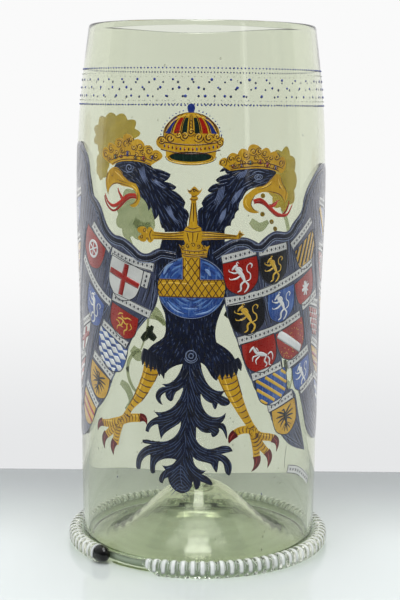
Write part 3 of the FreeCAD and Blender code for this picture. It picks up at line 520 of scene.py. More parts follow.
def plain_thread():
    """The thread before it is nipped: closed sections, each with how far it may be nipped."""
    count = int((TRAIL_END - TRAIL_START) / (2 * math.pi) * RIBS * RIB_STEPS)
    seat = wall_radius(TRAIL_HEIGHT / 2) + 0.00005
    points, ways, turns, faces = [], [], [], []
    for index in range(count + 1):
        turn = TRAIL_START + (TRAIL_END - TRAIL_START) * index / count
        start = min(1.0, 0.35 + 0.65 * (turn - TRAIL_START) / TRAIL_TAPER)
        rise = TRAIL_HEIGHT * (1.0 - start) * START_LIFT
        depth = BACK_RIBS + (1.0 - BACK_RIBS) * min(1.0, 1.2 + math.cos(turn))
        knob = 1.0 + KNOB_GROWTH * max(0.0, 1.0 - (TRAIL_END - turn) / KNOB_SPREAD)
        close = min(1.0, (turn - TRAIL_START) / 0.012, (TRAIL_END - turn) / 0.03)
        grown = start * knob * math.sqrt(max(0.05, close * (2.0 - close)))
        for side in range(TRAIL_AROUND):
            swing = 2 * math.pi * side / TRAIL_AROUND
            across, up = math.cos(swing), math.sin(swing)
            out = TRAIL_REACH * grown * (0.5 + 0.5 * np.sign(across) * abs(across) ** 0.8)
            z = rise + TRAIL_HEIGHT * grown * (0.5 + 0.5 * np.sign(up) * abs(up) ** 0.8)
            radius = seat + out
            points.append((radius * math.sin(turn), -radius * math.cos(turn), max(z, 0.0)))
            free = max(0.0, across) + 0.6 * max(0.0, up)
            way = (math.sin(turn) * across, -math.cos(turn) * across, max(up, 0.0) * 0.8)
            ways.append([part * min(free, 1.0) * min(grown, 1.0) * depth for part in way])
            turns.append(turn)
    for index in range(count):
        for side in range(TRAIL_AROUND):
            after = (side + 1) % TRAIL_AROUND
            a, b = index * TRAIL_AROUND, (index + 1) * TRAIL_AROUND
            faces.append((a + side, b + side, b + after, a + after))
    faces.append(tuple(range(TRAIL_AROUND)))
    faces.append(tuple(range(count * TRAIL_AROUND, (count + 1) * TRAIL_AROUND))[::-1])
    thread = new_object("foot_trail_glass", points, faces)
    attribute(thread, "way_out", "FLOAT_VECTOR", ways)
    attribute(thread, "turn", "FLOAT", turns)
    return thread


tree, given = recipe("nip_ribs", [("Ribs", "Float"), ("Depth", "Float"), ("Material", "Material")])
groove = (stored(tree, "turn") * given["Ribs"]).wave() * 0.5 + 0.5
nip = ((groove ** 1.8) * given["Depth"]) * -1.0
shift = tree.node("ShaderNodeVectorMath", {"operation": "SCALE"},
                  {0: stored(tree, "way_out", "FLOAT_VECTOR"), "Scale": nip})
serve(tree, given, tree.node("GeometryNodeSetPosition", None,
                             {"Geometry": given["Geometry"], "Offset": shift}))


def rib_painted_highlights(tree, place):
    """The share of painted white highlight on the crests of the ribs, above the thread's shaded underside."""
    x, y, height = (tree.part(place, axis) for axis in "XYZ")
    ribs = x.math("ARCTAN2", x, y * -1.0) * float(RIBS)
    return tree.rise(ribs.wave(), *CREST) * tree.rise(height, *CREST_HEIGHT) * CREST_WHITE


# The thread's glass carries a painted highlight: dull white on the upper rib crests, where a lamp's gleam
# would fall.
trail_glass = glass("nipped_thread_glass", (0.93, 0.95, 0.93, 1.0), 14.0, 0.03, 0.05,
                    wear_and_painted_highlight=(rib_painted_highlights, colour(232, 234, 236)))
trail = cook(plain_thread(), tree, {"Ribs": float(RIBS), "Depth": RIB_DEPTH}, trail_glass)
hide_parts("foot_trail")
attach(trail, "root")


def thread_part(name, first, last, reach, height, sizes, material):
    """A smooth stretch of glass thread round the base, rounded off at both ends; sizes gives
    half of its depth, its length where it is rounded, and half of its height."""
    points, faces = [], []
    steps, sides = 40, 20
    for step in range(steps + 1):
        turn = first + (last - first) * step / steps
        edge = min(1.0, (turn - first) * reach / sizes[1], (last - turn) * reach / sizes[1])
        grown = math.sqrt(max(0.02, edge * (2.0 - edge)))
        for side in range(sides):
            swing = 2 * math.pi * side / sides
            radius = reach + sizes[0] * grown * math.cos(swing)
            z = max(0.0, height + sizes[2] * grown * math.sin(swing))
            points.append((radius * math.sin(turn), -radius * math.cos(turn), z))
    for step in range(steps):
        for side in range(sides):
            after = (side + 1) % sides
            a, b = step * sides, (step + 1) * sides
            faces.append((a + side, b + side, b + after, a + after))
    faces.append(tuple(range(sides)))
    faces.append(tuple(range(steps * sides, (steps + 1) * sides))[::-1])
    piece = new_object(name, points, faces, material)
    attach(piece, "root")


knob_glass = glass("dark_knob_glass", (0.72, 0.78, 0.70, 1.0), 2400.0, 0.02, 0.05)
seat = wall_radius(TRAIL_HEIGHT / 2)
thread_part("trail_knob", TRAIL_END - math.radians(5.6), TRAIL_END + math.radians(4.4),
            seat + KNOB_HALF[0], KNOB_HEIGHT, KNOB_HALF, knob_glass)
thread_part("trail_leftover", TRAIL_END + math.radians(3.6), TRAIL_START + math.radians(364.0),
            seat + LEFTOVER_HALF[0], LEFTOVER_HEIGHT, LEFTOVER_HALF, knob_glass)


# The enamel fields: ground coloured glass painted on and fired, so that each lies raised on
# the wall with a gloss, streaks of the brush and a darker shade where it pooled.
DRAWING_RADIUS = 0.066
MAP_SCALE = 10.0
SAME_PLACE = 1e7


def vertex_places(mesh):
    places = np.empty(len(mesh.vertices) * 3)
    mesh.vertices.foreach_get("co", places)
    return places.reshape(-1, 3)


def face_corners(mesh):
    """The vertex at each corner of the faces."""
    corners = np.empty(len(mesh.loops), dtype=np.int64)
    mesh.loops.foreach_get("vertex_index", corners)
    return corners


def round_wall(places):
    """How far round the wall each place lies on the flat drawing."""
    return np.arctan2(places[:, 0], -places[:, 1]) * DRAWING_RADIUS


def draw_map(mesh):
    """Give a mesh on the wall the flat drawing as its texture map."""
    corners = vertex_places(mesh)[face_corners(mesh)]
    flat = np.c_[round_wall(corners), corners[:, 2]] * MAP_SCALE
    mesh.uv_layers.new(name="drawing").data.foreach_set("uv", flat.ravel())


def enamel_copy(node):
    """The node's own shape with its triangles joined, true wall normals and the drawing as its
    texture map."""
    source = frame["nodes"][node].data
    places = vertex_places(source)
    keys = np.round(places * SAME_PLACE).astype(np.int64)
    _, first, same = np.unique(keys, axis=0, return_index=True, return_inverse=True)
    triangles = same.ravel()[face_corners(source)].reshape(-1, 3)
    whole = (triangles[:, 0] != triangles[:, 1]) & (triangles[:, 1] != triangles[:, 2])
    whole &= triangles[:, 0] != triangles[:, 2]
    triangles = triangles[whole]
    points = places[first]
    thing = new_object(node + "_enamel", points, triangles)
    mesh = thing.data
    normals = np.cross(points[triangles[:, 1]] - points[triangles[:, 0]],
                       points[triangles[:, 2]] - points[triangles[:, 0]])
    normals /= np.maximum(np.linalg.norm(normals, axis=1), 1e-20)[:, None]
    middles = points[triangles].mean(axis=1)
    reach = np.hypot(middles[:, 0], middles[:, 1])
    faces_out = (normals[:, 0] * middles[:, 0] + normals[:, 1] * middles[:, 1]) / reach
    corners = points[triangles.ravel()]
    corner_reach = np.hypot(corners[:, 0], corners[:, 1])
    slope = (wall_radius(corners[:, 2] + 1e-3) - wall_radius(corners[:, 2] - 1e-3)) / 2e-3
    true = np.c_[corners[:, 0] / corner_reach, corners[:, 1] / corner_reach, -slope]
    true /= np.linalg.norm(true, axis=1)[:, None]
    side = np.repeat(faces_out, 3)
    loop_normals = np.repeat(normals, 3, axis=0)
    loop_normals[side > 0.9] = true[side > 0.9]
    loop_normals[side < -0.9] = -true[side < -0.9]
    mesh.normals_split_custom_set([tuple(normal) for normal in loop_normals])
    draw_map(mesh)
    return thing


def enamel(name, main, deep, pale, streak=(7.0, 60.0), lean=0.0, mottle=0.5, thin=0.0):
    """Fired enamel: a main colour that runs to a deep and a pale one along the brush. Where it
    is thin, light passes through it."""
    main, deep, pale = colour(*main), colour(*deep), colour(*pale)
    material, tree = new_material(name)
    flat = tree.node("ShaderNodeUVMap", {"uv_map": "drawing"})
    along = tree.node("ShaderNodeMapping", None, {
        "Vector": flat, "Rotation": (0.0, 0.0, lean), "Scale": (streak[1], streak[0], 1.0)})
    brush = tree.node("ShaderNodeTexNoise", None,
                      {"Vector": along, "Scale": 1.6, "Detail": 3.0, "Roughness": 0.6})
    pool = tree.node("ShaderNodeTexNoise", None, {"Vector": flat, "Scale": 11.0, "Detail": 2.5})
    grain = tree.node("ShaderNodeTexNoise", None, {"Vector": flat, "Scale": 120.0, "Detail": 2.0})
    deep_share = tree.rise(pool + brush * 0.4, 0.62, 0.86) * mottle
    pale_share = tree.rise(brush + grain * 0.15, 0.58, 0.80) * mottle
    tint = tree.mixed(pale_share, tree.mixed(deep_share, main, deep), pale)
    relief = tree.node("ShaderNodeBump", None, {
        "Strength": 0.25, "Distance": 0.0003, "Height": brush + grain * 0.5})
    body = tree.node("ShaderNodeBsdfPrincipled", None, {
        "Base Color": tint,
        "Roughness": grain * 0.14 + 0.22,
        "IOR": 1.45,
        "Coat Weight": 1.0,
        "Coat Roughness": 0.06,
        "Normal": relief,
    })
    if thin:
        glow = tree.node("ShaderNodeBsdfTransparent", None, {"Color": tint})
        body = tree.node("ShaderNodeMixShader", None, {0: thin, 1: body, 2: glow})
    tree.node("ShaderNodeOutputMaterial", None, {0: body})
    return material


FIELD_COLOURS = {
    "blue": ((48, 84, 154), (20, 44, 104), (112, 146, 196), {"mottle": 0.8}),
    "night": ((14, 20, 42), (5, 8, 18), (46, 60, 94)),
    "wing": ((62, 68, 92), (34, 38, 58), (98, 106, 130), {"streak": (5.0, 90.0), "lean": 0.3}),
    "gold": ((198, 154, 32), (158, 112, 12), (228, 192, 72)),
    "red": ((152, 22, 9), (104, 8, 4), (186, 58, 32)),
    "dark_red": ((86, 8, 8), (48, 2, 4), (120, 26, 20)),
    "white": ((206, 207, 202), (170, 173, 172), (228, 228, 224)),
    "black": ((12, 12, 16), (4, 4, 6), (38, 40, 50)),
    "green": ((12, 34, 26), (4, 14, 10), (52, 78, 66)),
    "olive": ((229, 212, 132), (208, 188, 98), (240, 228, 170), {"thin": 0.8}),
    "sage": ((225, 228, 212), (203, 210, 184), (238, 240, 230), {"thin": 0.8}),
}
ENAMELS = {}
for name, tones in FIELD_COLOURS.items():
    how = tones[3] if len(tones) > 3 else {}
    ENAMELS["enamel_" + name] = enamel(name + "_enamel", *tones[:3], **how)
NODE_SLOTS = {row["node"]: row["material_slot"] for row in frame["record"]["subparts"]}
DEEP_BLUE = enamel("deep_blue_enamel", (26, 46, 122), (10, 20, 78), (84, 112, 172))
DEEP_BLUE_NODES = ("great_crown_finial", "great_crown_caps_blue")
DOTTED = ("rim_dots_blue", "rim_dots_large", "rim_dots_white", "great_crown_halo")

for node in sorted(frame["nodes"]):
    slot = NODE_SLOTS.get(node, "")
    if not slot.startswith("enamel") or node in DOTTED:
        continue
    field = enamel_copy(node)
    field.data.materials.append(DEEP_BLUE if node in DEEP_BLUE_NODES else ENAMELS[slot])
    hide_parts(node)
    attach(field, "root")


# The dots: drops of enamel set with the tip of a brush, in two close rows and three loose rows
# below the rim, and in an arch over the great crown. No two are quite alike.
DROP_AROUND = 8
DROP_RINGS = 4
DROP_LIFT = 0.00013
DROP_HEIGHT = 0.00024
DRAWING_TOP = 0.28


def drop_row(level, count, radius, shift=0.0):
    """Turn, height and radius of each drop in a row round the glass."""
    return [(2 * math.pi * (index + shift) / count, level, radius) for index in range(count)]


def drop_arch(middle, foot, half_width, rise, count, start, room, radius):
    """Drops that follow a dome and leave room for what stands on it."""
    drops = []
    for index in range(count):
        swing = start + (math.pi - 2 * start) * index / (count - 1)
        away = half_width * math.cos(swing)
        if abs(away) > room:
            drops.append(((middle + away) / DRAWING_RADIUS, foot + rise * math.sin(swing), radius))
    return drops


tree, given = recipe("set_drops", [
    ("Height Share", "Float"), ("Unevenness", "Float"), ("Seed", "Int"), ("Material", "Material")])
drop = tree.node("GeometryNodeMeshUVSphere", None,
                 {"Segments": DROP_AROUND, "Rings": DROP_RINGS, "Radius": 1.0})
lot = tree.node("FunctionNodeRandomValue", {"data_type": "FLOAT"},
                {"Seed": given["Seed"], 2: -1.0, 3: 1.0}, 1)
wide = stored(tree, "size") * (1.0 + lot * given["Unevenness"])
scale = tree.node("ShaderNodeCombineXYZ", None, {0: wide, 1: wide, 2: given["Height Share"]})
stand = tree.node("FunctionNodeAlignRotationToVector", {"axis": "Z"},
                  {"Vector": stored(tree, "outward", "FLOAT_VECTOR")})
placed = tree.node("GeometryNodeInstanceOnPoints", None, {
    "Points": given["Geometry"], "Instance": drop, "Rotation": stand, "Scale": scale})
serve(tree, given, tree.node("GeometryNodeRealizeInstances", None, {0: placed}))
drop_tree = tree


def set_drops(name, drops, node, material, uneven=0.14):
    """Set drops, each given by its turn, height and radius, in place of a node's solids."""
    points, sizes, ways = [], [], []
    for turn, z, radius in drops:
        reach = wall_radius(z) + DROP_LIFT
        points.append((reach * math.sin(turn), -reach * math.cos(turn), z))
        sizes.append(radius)
        ways.append((math.sin(turn), -math.cos(turn), 0.0))
    piece = new_object(name, points, [])
    attribute(piece, "size", "FLOAT", sizes)
    attribute(piece, "outward", "FLOAT_VECTOR", ways)
    cook(piece, drop_tree, {"Height Share": DROP_HEIGHT, "Unevenness": uneven, "Seed": 4}, material)
    draw_map(piece.data)
    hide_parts(node)
    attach(piece, "root")


blue_drops = []
for below in (0.0234, 0.0414):
    blue_drops += drop_row(DRAWING_TOP - below, 202, 0.00048)
large_drops = []
for row, level in enumerate((0.2510, 0.2471, 0.2430)):
    large_drops += drop_row(level, 42, 0.00072, 0.5 + row / 3)
white_drops = drop_row(0.2541, 101, 0.00033, 0.5) + drop_row(0.2408, 101, 0.00033, 0.5)
arch = drop_arch(middle=-0.0052, foot=0.2224, half_width=0.0152, rise=0.0139, count=23,
                 start=math.radians(8.0), room=0.0026, radius=0.00037)
rim_blue = enamel("drop_blue_enamel", (34, 56, 142), (14, 28, 96), (96, 116, 178))
set_drops("rim_drops_blue", blue_drops, "rim_dots_blue", rim_blue)
set_drops("rim_drops_large", large_drops, "rim_dots_large", rim_blue, 0.2)
set_drops("rim_drops_white", white_drops, "rim_dots_white", ENAMELS["enamel_white"])
set_drops("crown_drops", arch, "great_crown_halo", rim_blue)


# The brushwork on the great crown: brown drawing over the gold, painted highlights in light yellow on its
# scrolls, arches and pearls, and rows of stones with painted white glints. Each line is one pull of a pointed
# brush, raised a little on the fired ground.
STROKE_STEP = 0.7
STROKE_AROUND = 6
STROKE_FLATNESS = 0.22
STROKE_RISE = 0.030
STROKE_SOFT = 0.03
ON_GLASS = 0.045
ON_ENAMEL = 0.276
ON_LINES = 0.302


def smooth_path(points, step=STROKE_STEP):
    """A soft line through a few places (u, v) in millimetres, in even steps."""
    places = np.array(points, dtype=float)
    ends = np.vstack([2 * places[0] - places[1], places, 2 * places[-1] - places[-2]])
    dense = []
    for a, b, c, d in zip(ends, ends[1:], ends[2:], ends[3:]):
        for t in np.linspace(0.0, 1.0, 12, endpoint=False):
            dense.append(0.5 * (2 * b + (c - a) * t + (2 * a - 5 * b + 4 * c - d) * t ** 2
                                + (3 * b - a - 3 * c + d) * t ** 3))
    dense = np.array(dense + [places[-1]])
    along = np.r_[0.0, np.cumsum(np.hypot(*np.diff(dense, axis=0).T))]
    even = np.linspace(0.0, along[-1], max(3, int(along[-1] / step) + 2))
    return np.c_[np.interp(even, along, dense[:, 0]), np.interp(even, along, dense[:, 1])]


def pull(points, width, start=0.45, end=0.2, step=STROKE_STEP):
    """One brush line: its path, and its width that swells from the start and thins to the end."""
    path = smooth_path(points, step)
    share = np.linspace(0.0, 1.0, len(path))
    return path, width * np.interp(share, [0.0, 0.25, 0.6, 1.0], [start, 1.0, 0.95, end])


def even_pull(points, width):
    return pull(points, width, 0.9, 0.9)


def ring(u, v, radius, width, squeeze=1.0, start=0.0, sweep=360.0):
    turns = np.radians(start + np.linspace(0.0, sweep, max(8, int(radius * abs(sweep) / 45) + 6)))
    path = np.c_[u + radius * np.cos(turns), v + radius * squeeze * np.sin(turns)]
    return path, np.full(len(path), width)


def curl(u, v, radius, width, start, turn=1, rounds=1.3):
    """A scroll that winds inwards from its outer end."""
    share = np.linspace(0.0, 1.0, max(10, int(radius * 9)))
    swing = math.radians(start) + turn * rounds * 2 * math.pi * share
    reach = radius * (1.0 - 0.82 * share)
    path = np.c_[u + reach * np.cos(swing), v + reach * np.sin(swing)]
    return path, width * np.interp(share, [0.0, 0.3, 1.0], [0.6, 1.0, 0.8])


def spot(u, v, radius, squeeze=1.0):
    """A dab of the brush, as a short thick stroke."""
    path = np.c_[np.linspace(u - radius * 0.45, u + radius * 0.45, 4), np.full(4, v)]
    return path, radius * 2 * squeeze * np.array([0.55, 1.0, 1.0, 0.55])


tree, given = recipe("pull_brush", [
    ("Flatness", "Float"), ("Around", "Int"), ("Material", "Material")])
lines = tree.node("GeometryNodeMeshToCurve", None, {"Mesh": given["Geometry"]})
level_lines = tree.node("GeometryNodeSetCurveNormal", {"mode": "Z_UP"}, {"Curve": lines})
round_tip = tree.node("GeometryNodeCurvePrimitiveCircle", None,
                      {"Resolution": given["Around"], "Radius": 0.5})
squash = tree.node("ShaderNodeCombineXYZ", None, {0: 1.0, 1: given["Flatness"], 2: 1.0})
flat_tip = tree.node("GeometryNodeTransform", None, {"Geometry": round_tip, "Scale": squash})
body = tree.node("GeometryNodeCurveToMesh", None, {
    "Curve": level_lines, "Profile Curve": flat_tip, "Scale": stored(tree, "width"), "Fill Caps": True})
serve(tree, given, tree.node("GeometryNodeRealizeInstances", None, {0: body}))
brush_tree = tree


def paint(name, strokes, material, lift=ON_ENAMEL):
    """Lay brush lines on the wall as one piece, lift millimetres off the glass."""
    points, edges, widths = [], [], []
    for path, wide in strokes:
        first = len(points)
        points += [(u, v, 0.0) for u, v in path]
        widths += list(wide)
        edges += [(first + step, first + step + 1) for step in range(len(path) - 1)]
    mesh = bpy.data.meshes.new(name)
    mesh.from_pydata(points, edges, [])
    piece = bpy.data.objects.new(name, mesh)
    bpy.context.scene.collection.objects.link(piece)
    attribute(piece, "width", "FLOAT", widths)
    cook(piece, brush_tree, {"Flatness": STROKE_FLATNESS, "Around": STROKE_AROUND}, material)
    mesh = piece.data
    flat = vertex_places(mesh)
    turn = flat[:, 0] / (DRAWING_RADIUS * 1000)
    height = flat[:, 1] / 1000
    off = lift + STROKE_RISE * np.tanh(flat[:, 2] / STROKE_SOFT)
    reach = wall_radius(height) + off / 1000
    bent = np.c_[reach * np.sin(turn), -reach * np.cos(turn), height]
    mesh.vertices.foreach_set("co", bent.ravel())
    mesh.update()
    draw_map(mesh)
    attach(piece, "root")


line_brown = enamel("brown_line_enamel", (72, 34, 10), (40, 16, 4), (108, 60, 20))
# line_light is the light yellow of the painted highlights on the gold, and also of the gold specks strewn on
# one shield.
line_light = enamel("light_gold_enamel", (232, 192, 74), (206, 158, 40), (244, 220, 130))
line_black = enamel("black_line_enamel", (10, 10, 14), (2, 2, 4), (34, 36, 46))
line_pale = enamel("pale_line_enamel", (116, 130, 158), (82, 96, 128), (156, 168, 190))
line_white = enamel("white_line_enamel", (222, 224, 222), (190, 196, 198), (238, 238, 236))
jewel_blue = enamel("blue_stone_enamel", (26, 40, 110), (10, 18, 66), (80, 100, 160))
jewel_red = enamel("red_stone_enamel", (120, 14, 10), (76, 4, 4), (170, 60, 50))
jewel_green = enamel("green_stone_enamel", (24, 66, 50), (10, 34, 26), (80, 116, 96))

brown, light, white, dark, blue, red, green = [], [], [], [], [], [], []
for share in (-0.97, -0.70, -0.37, -0.06, 0.06, 0.37, 0.70, 0.97):
    rib = []
    for level in (225.2, 228.0, 230.6, 232.6, 234.2):
        spread = math.sqrt(1 - ((level - 222.4) / 12.9) ** 2)
        rib.append((-5.2 + share * 13.9 * spread, level))
    brown.append(pull(rib, 0.6, 0.8, 0.5))
# Each scroll: a brown curl and arc, and a smaller light yellow curl beside it as its painted highlight.
for u, v, size, start, turn in (
        (-19.5, 221.2, 1.7, 200, 1), (-15.5, 222.4, 2.0, 0, -1), (-11.4, 224.0, 1.5, 180, 1),
        (-8.2, 223.6, 1.8, 90, -1), (-5.2, 225.6, 1.5, 0, 1), (-1.4, 223.2, 2.0, 180, -1),
        (3.6, 222.8, 2.1, 0, 1), (7.6, 223.4, 1.7, 200, -1), (9.0, 220.4, 1.2, 90, 1)):
    brown.append(curl(u, v, size, 0.66, start, turn))
    light.append(curl(u + 0.3, v + 0.4, size * 0.78, 0.42, start + 40, turn, 0.9))
    brown.append(ring(u, v, size + 0.45, 0.46, 1.0, start + 180, 150 * turn))
for level, sag in ((220.9, 1.2), (217.0, 1.5)):
    edge = [(-20.2, level), (-12.0, level - sag), (-5.2, level - sag * 1.3), (2.0, level - sag), (9.4, level)]
    brown.append(even_pull(edge, 0.6))
# A row of stones; every other stone gets a painted white glint.
for index in range(14):
    u = -18.2 + index * 2.0
    sag = 1.7 * (1 - ((u + 5.2) / 14.0) ** 2)
    (blue, dark, brown, red)[index % 4].append(spot(u, 219.0 - sag, 0.8))
    if index % 2:
        white.append(spot(u + 0.2, 219.3 - sag, 0.2))
for radius, width in ((10.9, 0.42), (12.4, 0.34)):
    brown.append(ring(-5.2, 213.4, radius, width, 0.30, 175, 190))
brown.append(ring(-5.2, 213.4, 10.6, 0.4, 0.24, 0, 180))
brown += [pull([(-18.9, 223.4), (-18.4, 227), (-15.3, 231), (-10, 234.2), (-5.2, 235.0), (-0.4, 234.2),
                (5, 231), (8.2, 227), (8.6, 223.4)], 0.34, 0.8, 0.8)]
# Painted highlights in light yellow along the arches and the band.
light += [pull([(-17.6, 225.8), (-14.6, 230.2), (-9.8, 233.2), (-5.2, 233.9)], 0.5),
          pull([(7.2, 225.8), (4.4, 230.2), (-0.6, 233.2), (-4.6, 233.9)], 0.5),
          ring(-5.2, 213.2, 11.7, 0.5, 0.27, 195, 150)]
# Pearls up the middle, each with a painted highlight.
for level in (226.4, 228.0, 229.6, 231.2):
    brown.append(spot(-5.2, level, 0.5))
    light.append(spot(-4.8, level + 0.3, 0.22))
paint("great_crown_drawing", brown, line_brown)
paint("great_crown_painted_highlights", light, line_light, ON_LINES)
paint("great_crown_stones_blue", blue, jewel_blue, ON_LINES)
paint("great_crown_stones_red", red + dark, jewel_red, ON_LINES)
paint("great_crown_painted_glints", white, line_white, ON_LINES + 0.03)


# The brushwork on the two heads: pale blue-grey feather lines combed down the necks over the blue-black
# ground, with a painted sheen on them, a ringed eye, and small crowns drawn in brown with painted stones.
# Painted highlights in light yellow lie on the beaks and the scrolls, and painted white glints lie on the
# stones.
def cover(node):
    """A test for whether the node's enamel lies at a place (u, v) in millimetres."""
    mesh = frame["nodes"][node].data
    shell = BVHTree.FromPolygons([vertex.co for vertex in mesh.vertices],
                                 [tuple(face.vertices) for face in mesh.polygons])

    def lies(u, v):
        turn = u / (DRAWING_RADIUS * 1000)
        way = (-math.sin(turn), math.cos(turn), 0.0)
        start = (0.08 * math.sin(turn), -0.08 * math.cos(turn), v / 1000)
        return shell.ray_cast(start, way, 0.03)[0] is not None

    return lies


def kept(strokes, *nodes):
    """Only those stretches of brush lines that lie on the enamel of the nodes."""
    tests = [cover(node) for node in nodes]
    parts = []
    for path, wide in strokes:
        on = [any(test(u, v) for test in tests) for u, v in path]
        first = None
        for index, good in enumerate(on + [False]):
            if good and first is None:
                first = index
            elif not good and first is not None:
                if index - first > 2:
                    parts.append((path[first:index], wide[first:index]))
                first = None
    return parts


def drawn_box(node):
    """The lowest and the highest (u, v) of a node."""
    places = vertex_places(frame["nodes"][node].data)
    u, v = round_wall(places) * 1000, places[:, 2] * 1000
    return (u.min(), v.min()), (u.max(), v.max())


EDGE_ROOM = 0.35
RUNNING_ROOM = 0.72
TRIES = 5


def comb(node, guides, gap, length, width, seed, step=0.8, window=None, patchy=0.0):
    """Even brush lines all over a node's field, combed along guide lines. Lines keep a gap from
    each other and stay off the edge; window limits them to a box, patchy leaves a share out."""
    lies = cover(node)
    low, high = window or drawn_box(node)
    knots, ways = [], []
    for guide in guides:
        path = smooth_path(guide, 1.2)
        knots.append((path[1:] + path[:-1]) / 2)
        leg = np.diff(path, axis=0)
        ways.append(leg / np.linalg.norm(leg, axis=1)[:, None])
    knots, ways = np.vstack(knots), np.vstack(ways)
    taken = {}

    def way_at(place):
        pull_of = 1.0 / (((knots - place) ** 2).sum(axis=1) + 0.4) ** 2
        mean = (ways * pull_of[:, None]).sum(axis=0)
        return mean / max(np.linalg.norm(mean), 1e-9)

    def free(place, room):
        column, row = int(place[0] // gap), int(place[1] // gap)
        for i in (column - 1, column, column + 1):
            for j in (row - 1, row, row + 1):
                for other in taken.get((i, j), ()):
                    if (other[0] - place[0]) ** 2 + (other[1] - place[1]) ** 2 < room * room:
                        return False
        return True

    chance = np.random.default_rng(seed)
    tries = int((high[0] - low[0]) * (high[1] - low[1]) / gap ** 2 * TRIES)
    strokes = []
    for start in chance.uniform(low, high, (tries, 2)):
        if not free(start, gap) or not lies(*start):
            continue
        long = length * chance.uniform(0.55, 1.25)
        halves = []
        for sign in (-1, 1):
            place, half = start, []
            for _ in range(int(long / 2 / step)):
                place = place + sign * step * way_at(place)
                ahead = place + sign * EDGE_ROOM * way_at(place)
                if not lies(*ahead) or not free(place, gap * RUNNING_ROOM):
                    break
                half.append(place)
            halves.append(half)
        line = halves[0][::-1] + [start] + halves[1]
        if len(line) < 3:
            continue
        for place in line:
            taken.setdefault((int(place[0] // gap), int(place[1] // gap)), []).append(place)
        if chance.uniform() >= patchy:
            share = np.linspace(0.0, 1.0, len(line))
            swell = np.interp(share, [0.0, 0.3, 0.7, 1.0], [0.4, 1.0, 0.9, 0.25])
            strokes.append((np.array(line), width * swell * chance.uniform(0.75, 1.2)))
    return strokes


NECK_LEFT = (
    ((-44, 209), (-36, 210.5), (-30, 206), (-26, 198), (-20, 188), (-14, 178)),
    ((-46, 205), (-40, 203), (-33, 199), (-29, 194), (-26, 188)),
    ((-26, 209), (-22, 206.6), (-17, 205)),
    ((-24, 204), (-18, 200.6), (-13, 198.6)),
    ((-20, 199), (-14, 194), (-8.5, 191)),
    ((-15, 192), (-11, 187), (-7.5, 181), (-7, 177)),
    ((-24, 196), (-22, 189), (-20.8, 184)),
)
NECK_RIGHT = (
    ((37, 207), (28, 208.6), (20, 205), (15, 197), (9, 188), (4, 177)),
    ((36, 203), (28, 200.6), (21, 197.4), (18.6, 191)),
    ((20, 208), (15, 208.4), (12.4, 208.6)),
    ((17, 205), (12, 203.4), (8, 202.4)),
    ((13, 200), (8, 198.6), (4, 197.2)),
    ((8, 195), (3.4, 191.4), (0, 187), (0.5, 178)),
    ((16, 194), (15.6, 187), (12, 180.4)),
)
pale = comb("head_left", NECK_LEFT, 1.35, 7.0, 0.46, 11)
pale += comb("head_right", NECK_RIGHT, 1.35, 7.0, 0.46, 12)
black = comb("head_left", NECK_LEFT, 1.9, 8.0, 0.7, 13)
black += comb("head_right", NECK_RIGHT, 1.9, 8.0, 0.7, 14)
paint("necks_deep_lines", black, line_black, ON_ENAMEL - 0.012)
line_dim = enamel("dim_line_enamel", (62, 76, 106), (40, 52, 80), (100, 114, 142))
paint("necks_feather_lines", pale, line_dim)

# Painted sheen: short pale strokes on the necks, where the enamel's gloss catches the light.
sheen = []
for root, middle, tip, width in (
        ((-30.4, 208), (-29.4, 204), (-27.6, 199.6), 1.9),
        ((-16.4, 189), (-14.2, 184.4), (-11, 180.4), 1.5),
        ((21.4, 207), (19.8, 204.6), (18.4, 202.6), 2.2), ((10.2, 199), (9.2, 194.4), (7.6, 189.4), 1.9),
        ((20.6, 198.6), (17.6, 194.6), (15.4, 190.2), 1.3), ((11.6, 188), (10.6, 184.4), (9.4, 180.8), 1.2),
        ((-23.4, 202), (-20.4, 199.2), (-17.8, 197.6), 1.0)):
    for share in (-0.7, -0.35, 0.0, 0.35, 0.7):
        away = width * share
        sheen.append(pull([(root[0] + away, root[1] + 0.9 * share),
                           (middle[0] + away, middle[1] - 0.6 * share),
                           (tip[0] + away, tip[1] + 1.6 * abs(share))], 0.5, 0.3, 0.15))
painted_sheen_line = enamel("painted_sheen_enamel", (104, 118, 152), (70, 84, 122), (150, 162, 190))
paint("necks_painted_sheen", sheen, painted_sheen_line, ON_ENAMEL + 0.012)

eyes = [
    curl(-37.4, 207.6, 2.6, 0.5, 20, -1, 1.6), pull([(-41.6, 206.2), (-38.6, 205.2), (-35.2, 205.6)], 0.4),
    ring(29.0, 203.7, 2.1, 0.42, 0.62), ring(29.0, 203.7, 1.0, 0.4, 0.7),
    pull([(25.6, 205.6), (28.8, 206.6), (32.6, 205.8)], 0.4),
    pull([(26.4, 201.6), (29.6, 201.2), (32.4, 202)], 0.3),
]
paint("eyes", eyes, line_pale, ON_LINES)

